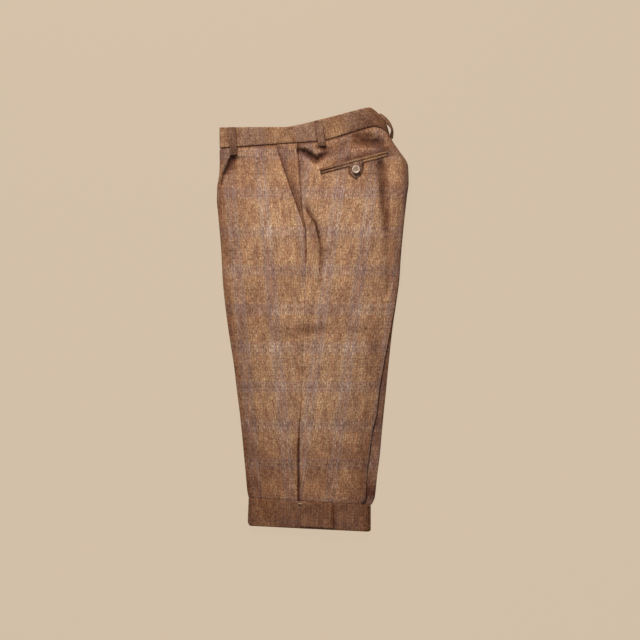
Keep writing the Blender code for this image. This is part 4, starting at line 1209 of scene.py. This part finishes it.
def button_threads():
    """Two pairs of strands over the button's bridge, through its four holes."""
    foot, out = button_frame()
    turn = Vector(out).to_track_quat("Z", "Y").to_matrix()
    lines = []
    for side in (-1.0, 1.0):
        for k in (-0.5, 0.0, 0.5):
            spots = [(side * HOLE_PITCH + k * 0.75, HOLE_PITCH * (2.0 * t - 1.0) * 1.05,
                      0.6 * BUTTON_THICK + 0.5 * math.sin(math.pi * t) ** 0.5 - 0.35)
                     for t in np.linspace(0.0, 1.0, 9)]
            lines.append([tuple(Vector(foot) + turn @ Vector(spot)) for spot in spots])
    return lines


TACK_IN = 0.6           # of the bar tacks from the pocket's ends, and past its jets
VENT_TACK = ((-28.0, -351.2), (-20.2, -350.6))
VENT_STITCHES = (((-24.0, -190.5), (-19.5, -193.8)), ((-20.6, -193.0), (-15.8, -197.4)),
                 ((-17.2, -197.0), (-12.4, -203.0)), ((-25.5, -200.0), (-21.5, -204.5)))


def sewing(thread, pale):
    """Bar tacks, buttonhole and button thread."""
    reach = JET_ACROSS * (JET_WIDTH + TACK_IN)
    ends = []
    for d in (TACK_IN, JET_LENGTH - TACK_IN):
        middle = JET_START + JET_ALONG * d
        ends += bar_tack(middle - reach, middle + reach, 1.7, LAID + JET_WALL + 0.15)
    vent = bar_tack(*VENT_TACK, 2.4, CUFF_WALL + 0.15)
    loose = [stitch(*feet, 0.25, 0.5) for feet in VENT_STITCHES]
    return [tubes("button_thread", button_threads(), 0.24, thread),
            tubes("buttonhole", buttonhole_stitches(), 0.26, thread),
            tubes("pocket_end_tacks", ends, 0.24, thread),
            tubes("vent_tack", vent, 0.3, pale),
            tubes("vent_top_stitches", loose, 0.3, pale)]


# ---------------------------------------------------------------- materials

def srgb(red, green, blue):
    """A colour given as on a screen, 0 to 255, for a shader."""
    def linear(value):
        c = value / 255.0
        return c / 12.92 if c <= 0.04045 else ((c + 0.055) / 1.055) ** 2.4
    return (linear(red), linear(green), linear(blue), 1.0)


class Wire:
    """A value, place or colour between two nodes. Sums with it are made by nodes too."""

    def __init__(self, paint, socket):
        self.paint, self.socket = paint, socket

    def __add__(self, other):
        return self.paint.math("ADD", self, other)

    def __sub__(self, other):
        return self.paint.math("SUBTRACT", self, other)

    def __rsub__(self, other):
        return self.paint.math("SUBTRACT", other, self)

    def __mul__(self, other):
        return self.paint.math("MULTIPLY", self, other)

    def __mod__(self, other):
        return self.paint.math("FLOORED_MODULO", self, other)

    def __abs__(self):
        return self.paint.math("ABSOLUTE", self)

    def wave(self, length, shift=None):
        """A sine that comes back after each length."""
        turns = self * (2.0 * math.pi / length)
        return self.paint.math("SINE", turns if shift is None else turns + shift)

    def step(self, low, high):
        """0 at low, 1 at high, smooth between."""
        return self.paint.node("MapRange", {"Value": self, "From Min": low, "From Max": high},
                               "Result", interpolation_type="SMOOTHSTEP", clamp=True)

    def ramp(self, *stops):
        made = self.paint.node("ValToRGB", {0: self}, "Color")
        elements = made.socket.node.color_ramp.elements
        while len(elements) < len(stops):
            elements.new(0.5)
        for element, (position, colour) in zip(elements, stops):
            element.position = position
            element.color = (*colour[:3], 1.0)
        return made

    def toward(self, other, share):
        return self.paint.mix(share, self, other)

    def times(self, other):
        return self.paint.mix(1.0, self, other, "MULTIPLY")


class Paint:
    """A material's nodes, wired by short calls."""

    def __init__(self, name, looks):
        self.material = bpy.data.materials.new(name)
        self.material.use_nodes = True
        self.tree = self.material.node_tree
        self.shader = next(n for n in self.tree.nodes if n.type == "BSDF_PRINCIPLED")
        self.feed(self.shader, looks)

    def feed(self, node, feeds):
        for key, value in feeds.items():
            if isinstance(value, Wire):
                self.tree.links.new(value.socket, node.inputs[key])
            else:
                node.inputs[key].default_value = value

    def node(self, kind, feeds, output=0, **settings):
        """One output of a new node."""
        made = self.tree.nodes.new("ShaderNode" + kind)
        for key, value in settings.items():
            setattr(made, key, value)
        self.feed(made, feeds)
        return Wire(self, made.outputs[output])

    def math(self, operation, *values):
        return self.node("Math", dict(enumerate(values)), operation=operation)

    def point(self, x, y, z=0.0):
        return self.node("CombineXYZ", {0: x, 1: y, 2: z})

    def place(self):
        return self.node("TexCoord", {}, "Object")

    def in_mm(self, place):
        """x and y of a place in metres."""
        parts = self.node("SeparateXYZ", {0: place}).socket.node.outputs
        return [Wire(self, parts[axis]) * 1000.0 for axis in "XY"]

    def noise(self, place, scale=1.0, detail=2.0, roughness=0.5):
        feeds = {"Vector": place, "Scale": scale, "Detail": detail, "Roughness": roughness}
        return self.node("TexNoise", feeds, "Fac", noise_dimensions="3D")

    def mix(self, factor, first, second, blend="MIX"):
        return self.node("Mix", {0: factor, 6: first, 7: second}, 2,
                         data_type="RGBA", blend_type=blend)

    def bump(self, height, distance, strength, onto=None):
        feeds = {"Distance": distance * MM, "Strength": strength, "Height": height}
        if onto is not None:
            feeds["Normal"] = onto
        return self.node("Bump", feeds, "Normal")

    def finish(self, colour, normal=None):
        self.feed(self.shader, {"Base Color": colour})
        if normal is not None:
            self.feed(self.shader, {"Normal": normal})
        return self.material


YARN = 1.25             # one thread and the space beside it
RIB = 4.8               # from one group of like threads to the next, across and along
COURSE = 5.4
BAND_HALF = 10.5        # half width of a coloured band of the check
BAND_SOFT = 3.5
BAND_THREAD = 4.8       # from one group of slate threads to the next in a band
LINE_WIDTHS = (1.1, 0.6)            # half width and softness of the check's fine lines
CROSSING_SHIFT = -0.3
DEEPEST = (0.16, 0.095, 0.08)       # of the cloth's colour that is left where the shade is 1
# painted shade: the cloth darkens toward the knee as the light falls off
KNEE_PAINTED_SHADE = (0.79, 0.67, 0.62, 1.0)
WHITE = (1.0, 1.0, 1.0, 1.0)

# Colours of the yarns, as on a screen
UMBER = srgb(72, 47, 33)
BARK = srgb(121, 81, 59)
GOLD = srgb(169, 130, 94)
PALE = srgb(204, 176, 146)
RUST = srgb(148, 94, 66)
SLATE = srgb(146, 127, 124)
MIST = srgb(178, 158, 150)
DUSK = srgb(98, 80, 80)


def stripes(across, places, period, half=BAND_HALF, soft=BAND_SOFT):
    """1 in the bands round each place, again at every period."""
    total = None
    for place in places:
        off = (across + (0.5 * period - place)) % period - 0.5 * period
        band = 1.0 - abs(off).step(half - soft, half + soft)
        total = band if total is None else across.paint.math("MAXIMUM", total, band)
    return total


def tweed(name, check, brightness=1.0, warmth=0.0):
    """Woollen tweed: mixed yarns both ways, with soft bands of slate yarn for its check, and the
    painted shade and painted light that each point carries.
    """
    paint = Paint(name, {"Roughness": 0.92, "Specular IOR Level": 0.08, "Sheen Weight": 0.06,
                         "Sheen Roughness": 0.55, "Sheen Tint": srgb(214, 190, 164)})
    u, v = paint.in_mm(paint.node("UVMap", {}, "UV", uv_map="Cloth"))
    sway = (paint.noise(paint.point(u * 0.03, v * 0.03), 1.0, 1.0) - 0.5) * 3.0
    u, v = u + sway, v + sway

    def streaks(across, along, width, length, seed, detail=1.5):
        spot = paint.point(across * (1.0 / width), along * (1.0 / length), seed)
        return paint.noise(spot, 1.0, detail, 0.55)

    # which of the two yarns lies on top, thread by thread
    top_yarn = (u + v).wave(2.0 * YARN).step(-0.35, 0.35)

    warp_tone = streaks(u, v, 1.25, 7.0, 3.1)
    weft_tone = streaks(v, u, 1.25, 5.0, 7.7)
    warp_hue = streaks(u, v, 2.6, 30.0, 12.3)
    weft_hue = streaks(v, u, 2.1, 14.0, 17.9)
    tones = ((0.16, UMBER), (0.37, BARK), (0.58, GOLD), (0.84, PALE))
    warp = warp_tone.ramp(*tones).toward(RUST, warp_hue.step(0.55, 0.66) * 0.75)
    weft = weft_tone.ramp(*tones).toward(SLATE, weft_hue.step(0.56, 0.68) * 0.6)

    # a band is a run of slate threads, close together but not all of them
    slate = warp_tone.ramp((0.34, DUSK), (0.56, SLATE), (0.8, MIST))
    threads = (u.wave(BAND_THREAD) + warp_hue * 1.6).step(0.0, 1.3)
    warp = warp.toward(slate, stripes(u, *check["across"]) * threads * check["strength"][0])
    weft = weft.toward(slate, stripes(v, *check["along"]) * check["strength"][1])
    warp = warp.toward(RUST, stripes(u, *check["lines_across"], *LINE_WIDTHS) * 0.55)
    weft = weft.toward(UMBER, stripes(v, *check["lines_along"], *LINE_WIDTHS) * 0.28)

    # crossing streaks, a little finer than the eye can part, and the yarns themselves
    crossing = streaks(u, v, 1.9, 2.9, 23.0) * 1.6 + CROSSING_SHIFT
    colour = warp.toward(weft, (crossing * 0.6 + top_yarn * 0.4).step(0.38, 0.85))
    flecks = paint.noise(paint.point(u, v, 31.0), 0.55, 3.0, 0.6)
    colour = colour.toward(PALE, flecks.step(0.66, 0.71) * 0.7)
    colour = colour.toward(UMBER, flecks.step(0.34, 0.29) * 0.6)

    # the cloth's unevenness, from broad to fine
    wash = paint.noise(paint.point(u, v, 41.0), 0.017, 3.0, 0.55)
    colour = colour.times(wash.ramp((0.3, (0.80, 0.74, 0.75)), (0.7, (1.17, 1.2, 1.18))))
    mottle = streaks(u, v, 10.0, 34.0, 47.0, 3.0)
    colour = colour.times(mottle.ramp((0.28, (0.73, 0.67, 0.69)), (0.72, (1.24, 1.28, 1.26))))
    colour = colour.times((brightness * (1.0 + warmth), brightness,
                           brightness * (1.0 - warmth), 1.0))
    # painted shade, darker toward the knee
    colour = colour.times(paint.mix(v.step(-120.0, -390.0), WHITE, KNEE_PAINTED_SHADE))
    ribs = u.wave(RIB, streaks(u, v, 22.0, 60.0, 61.0) * 9.0)
    courses = v.wave(COURSE, streaks(v, u, 22.0, 60.0, 67.0) * 9.0)
    grid = ribs * 0.21 + courses * 0.13 + 0.5
    colour = colour.times(grid.ramp((0.0, (0.82, 0.81, 0.82)), (1.0, (1.18, 1.19, 1.18))))
    grain = paint.noise(paint.point(u, v, 71.0), 0.3, 2.0, 0.65)
    colour = colour.times(grain.ramp((0.32, (0.74, 0.72, 0.73)), (0.68, (1.24, 1.25, 1.22))))

    # painted shade from each point's Shade, and painted light where it is below 0
    shade = paint.node("Attribute", {}, "Fac", attribute_name="Shade", attribute_type="GEOMETRY")
    sunk = paint.math("POWER", paint.math("MAXIMUM", shade, 0.0), SHADE_POWER)
    shade = paint.math("MINIMUM", shade, 0.0) + sunk
    colour = colour.times(paint.point(*(paint.math("POWER", least, shade) for least in DEEPEST)))

    # relief: round yarns, crossing, with slubs and a felted nap
    round_yarns = {0: top_yarn, 2: abs(u.wave(2.0 * YARN)), 3: abs(v.wave(2.0 * YARN))}
    normal = paint.bump(warp_tone + weft_tone, 0.9, 0.5)
    normal = paint.bump(paint.node("Mix", round_yarns, data_type="FLOAT"), 0.22, 0.55, normal)
    nap = paint.noise(paint.point(u, v, 53.0), 1.9, 4.0, 0.7)
    return paint.finish(colour, paint.bump(nap, 0.3, 0.4, normal))


# places and period of the check's bands and fine lines across and along
CLOTH_CHECK = {
    "across": ((25.8, 87.8), 133.0),
    "along": ((-55.0,), 73.5),
    "lines_across": ((25.8, 56.8, 87.8, 123.0), 133.0),
    "lines_along": ((-55.0, -18.0), 73.5),
    "strength": (0.75, 0.6),
}
BAND_CHECK = {
    "across": ((93.0, 196.0), 206.0, 24.0, 7.0),
    "along": ((250.0,), 500.0),
    "lines_across": ((60.0, 128.0, 173.0), 206.0),
    "lines_along": ((345.0,), 500.0),
    "strength": (0.6, 0.2),
}
CUFF_CHECK = {
    "across": ((93.0, 196.0), 206.0, 30.0, 12.0),
    "along": ((-382.0,), 500.0, 5.0, 4.0),
    "lines_across": ((0.0,), 7.6),
    "lines_along": ((345.0,), 500.0),
    "strength": (0.6, 0.6),
}


def horn(name):
    """Polished horn, cloudy, with darker streaks and a painted highlight on its rim."""
    paint = Paint(name, {"Roughness": 0.3, "Specular IOR Level": 0.5, "Coat Weight": 0.25,
                         "Coat Roughness": 0.18, "Subsurface Weight": 0.08,
                         "Subsurface Radius": (0.002, 0.0012, 0.0007)})
    x, y = paint.in_mm(paint.place())
    clouds = paint.noise(paint.point(x * 0.5, y), 0.28, 3.0, 0.6)
    colour = clouds.ramp((0.32, srgb(92, 66, 46)), (0.5, srgb(160, 130, 106)),
                         (0.68, srgb(200, 174, 150)))
    streak = paint.noise(paint.point(x * 0.3, y, 5.0), 1.3, 2.0)
    colour = colour.toward(srgb(84, 60, 44), streak.step(0.55, 0.7) * 0.5)
    # painted highlight: the rim is paler
    rim = paint.math("SQRT", x * x + y * y).step(0.6 * BUTTON_RADIUS, 0.86 * BUTTON_RADIUS)
    colour = colour.toward(srgb(210, 188, 170), rim * 0.5)
    scratches = paint.noise(paint.point(x * 6.0, y, 9.0), 1.1, 3.0)
    return paint.finish(colour, paint.bump(scratches, 0.05, 0.3))


def twist(name, colour, dark):
    """Plied sewing thread."""
    paint = Paint(name, {"Roughness": 0.62, "Sheen Weight": 0.2, "Specular IOR Level": 0.35})
    place = paint.place()
    plies = paint.node("TexWave", {"Vector": place, "Scale": 900.0, "Distortion": 2.0}, "Fac",
                       wave_type="BANDS", bands_direction="DIAGONAL")
    tone = paint.mix(paint.noise(place, 700.0, 2.0).step(0.35, 0.7), dark, colour)
    return paint.finish(tone, paint.bump(plies, 0.08, 0.5))


# ---------------------------------------------------------------- floor, lights, camera

FLOOR_COLOUR = srgb(213, 193, 169)
FLOOR_BASE = srgb(38, 34, 29)
FLOOR_GLOW = 0.958
FLOOR_HALF = 5.0
FLOOR_Z = -0.0003
CAMERA_DISTANCE = 4.0
CAMERA_PLACE = (0.0134, -0.0019)
PHOTO_WIDTH = 1.216       # of the floor across the picture, at the cloth's middle height
MIDDLE_HEIGHT = 0.015
SENSOR = 36.0


def stage_floor():
    """A plain pale floor that stays evenly bright, with only a faint shadow at the cloth."""
    paint = Paint("pale_floor", {"Roughness": 0.95, "Specular IOR Level": 0.0,
                                 "Emission Strength": FLOOR_GLOW,
                                 "Emission Color": FLOOR_COLOUR})
    deep = tuple(c * 0.985 for c in FLOOR_BASE[:3]) + (1.0,)
    grain = paint.noise(paint.place(), 9.0, 2.0)
    mesh = bpy.data.meshes.new("floor")
    corners = [(x * FLOOR_HALF, y * FLOOR_HALF, FLOOR_Z)
               for x, y in ((-1, -1), (1, -1), (1, 1), (-1, 1))]
    mesh.from_pydata(corners, [], [(0, 1, 2, 3)])
    mesh.materials.append(paint.finish(paint.mix(grain, FLOOR_BASE, deep)))
    linked("floor", mesh)


def area_light(name, place, target, size, power, colour):
    light = bpy.data.lights.new(name, "AREA")
    light.shape = "DISK"
    light.size = size
    light.energy = power
    light.color = colour
    obj = linked(name, light)
    obj.location = place
    obj.rotation_mode = "QUATERNION"
    obj.rotation_quaternion = (Vector(target) - Vector(place)).to_track_quat("-Z", "Y")


def studio():
    area_light("key", (-0.50, 1.57, 1.41), (0.0, 0.10, 0.0), 0.6, 59.0, (1.0, 0.98, 0.96))
    area_light("fill", (0.60, 0.0, 2.0), (0.0, 0.0, 0.0), 0.8, 8.0, (1.0, 0.99, 0.98))
    scene = bpy.context.scene
    scene.world = bpy.data.worlds.new("studio")
    scene.world.use_nodes = True
    back = next(n for n in scene.world.node_tree.nodes if n.type == "BACKGROUND")
    back.inputs["Color"].default_value = (1.0, 0.98, 0.95, 1.0)
    back.inputs["Strength"].default_value = 0.09
    scene.view_settings.view_transform = "Standard"

    camera = bpy.data.cameras.new("camera")
    camera.sensor_width = SENSOR
    camera.lens = SENSOR * CAMERA_DISTANCE / PHOTO_WIDTH
    camera.clip_end = 50.0
    scene.camera = linked("camera", camera)
    scene.camera.location = (*CAMERA_PLACE, CAMERA_DISTANCE + MIDDLE_HEIGHT)


def build():
    leg = tweed("tweed", CLOTH_CHECK, 1.08, -0.03)
    # a lighter copy of the leg's tweed for the back panel: painted light
    seat = tweed("tweed_seat_painted_light", CLOTH_CHECK, 1.15, -0.04)
    band = tweed("tweed_band", BAND_CHECK, 0.75, 0.0)
    cuff = tweed("tweed_cuff", CUFF_CHECK, 0.77, 0.02)
    # a darker copy of the tweed for the hidden layers: painted shade
    inside = tweed("tweed_inside", CLOTH_CHECK, 0.7)
    thread = twist("silk_twist", srgb(96, 66, 44), srgb(60, 40, 28))
    pale = twist("linen_thread", srgb(190, 164, 132), srgb(140, 112, 84))

    left_panel("front_panel", True, leg)
    left_panel("back_panel", False, seat)
    right_panel("under_front_panel", True, leg)
    right_panel("under_back_panel", False, leg)
    pocket_bearer(leg)
    vent_underlap(leg)
    waistband("left", band)
    waistband("right", band)
    knee_band("left", cuff)
    knee_band("right", cuff)
    knee_tab(cuff)
    belt_loop("front_loop", *FRONT_LOOP, 0.3, band, "front_belt_loop")
    belt_loop("side_loop", *SIDE_LOOP, 0.14, band, "side_belt_loop")
    back_belt_loop(band)
    pocket_jet("upper_jet", 1.0, band, "upper_pocket_jet")
    pocket_jet("lower_jet", -1.0, band, "lower_pocket_jet")
    pocket_tab(band)
    pocket_button(horn("horn"))
    inner_layers(inside)
    sewing(thread, pale)
    stage_floor()
    studio()


build()
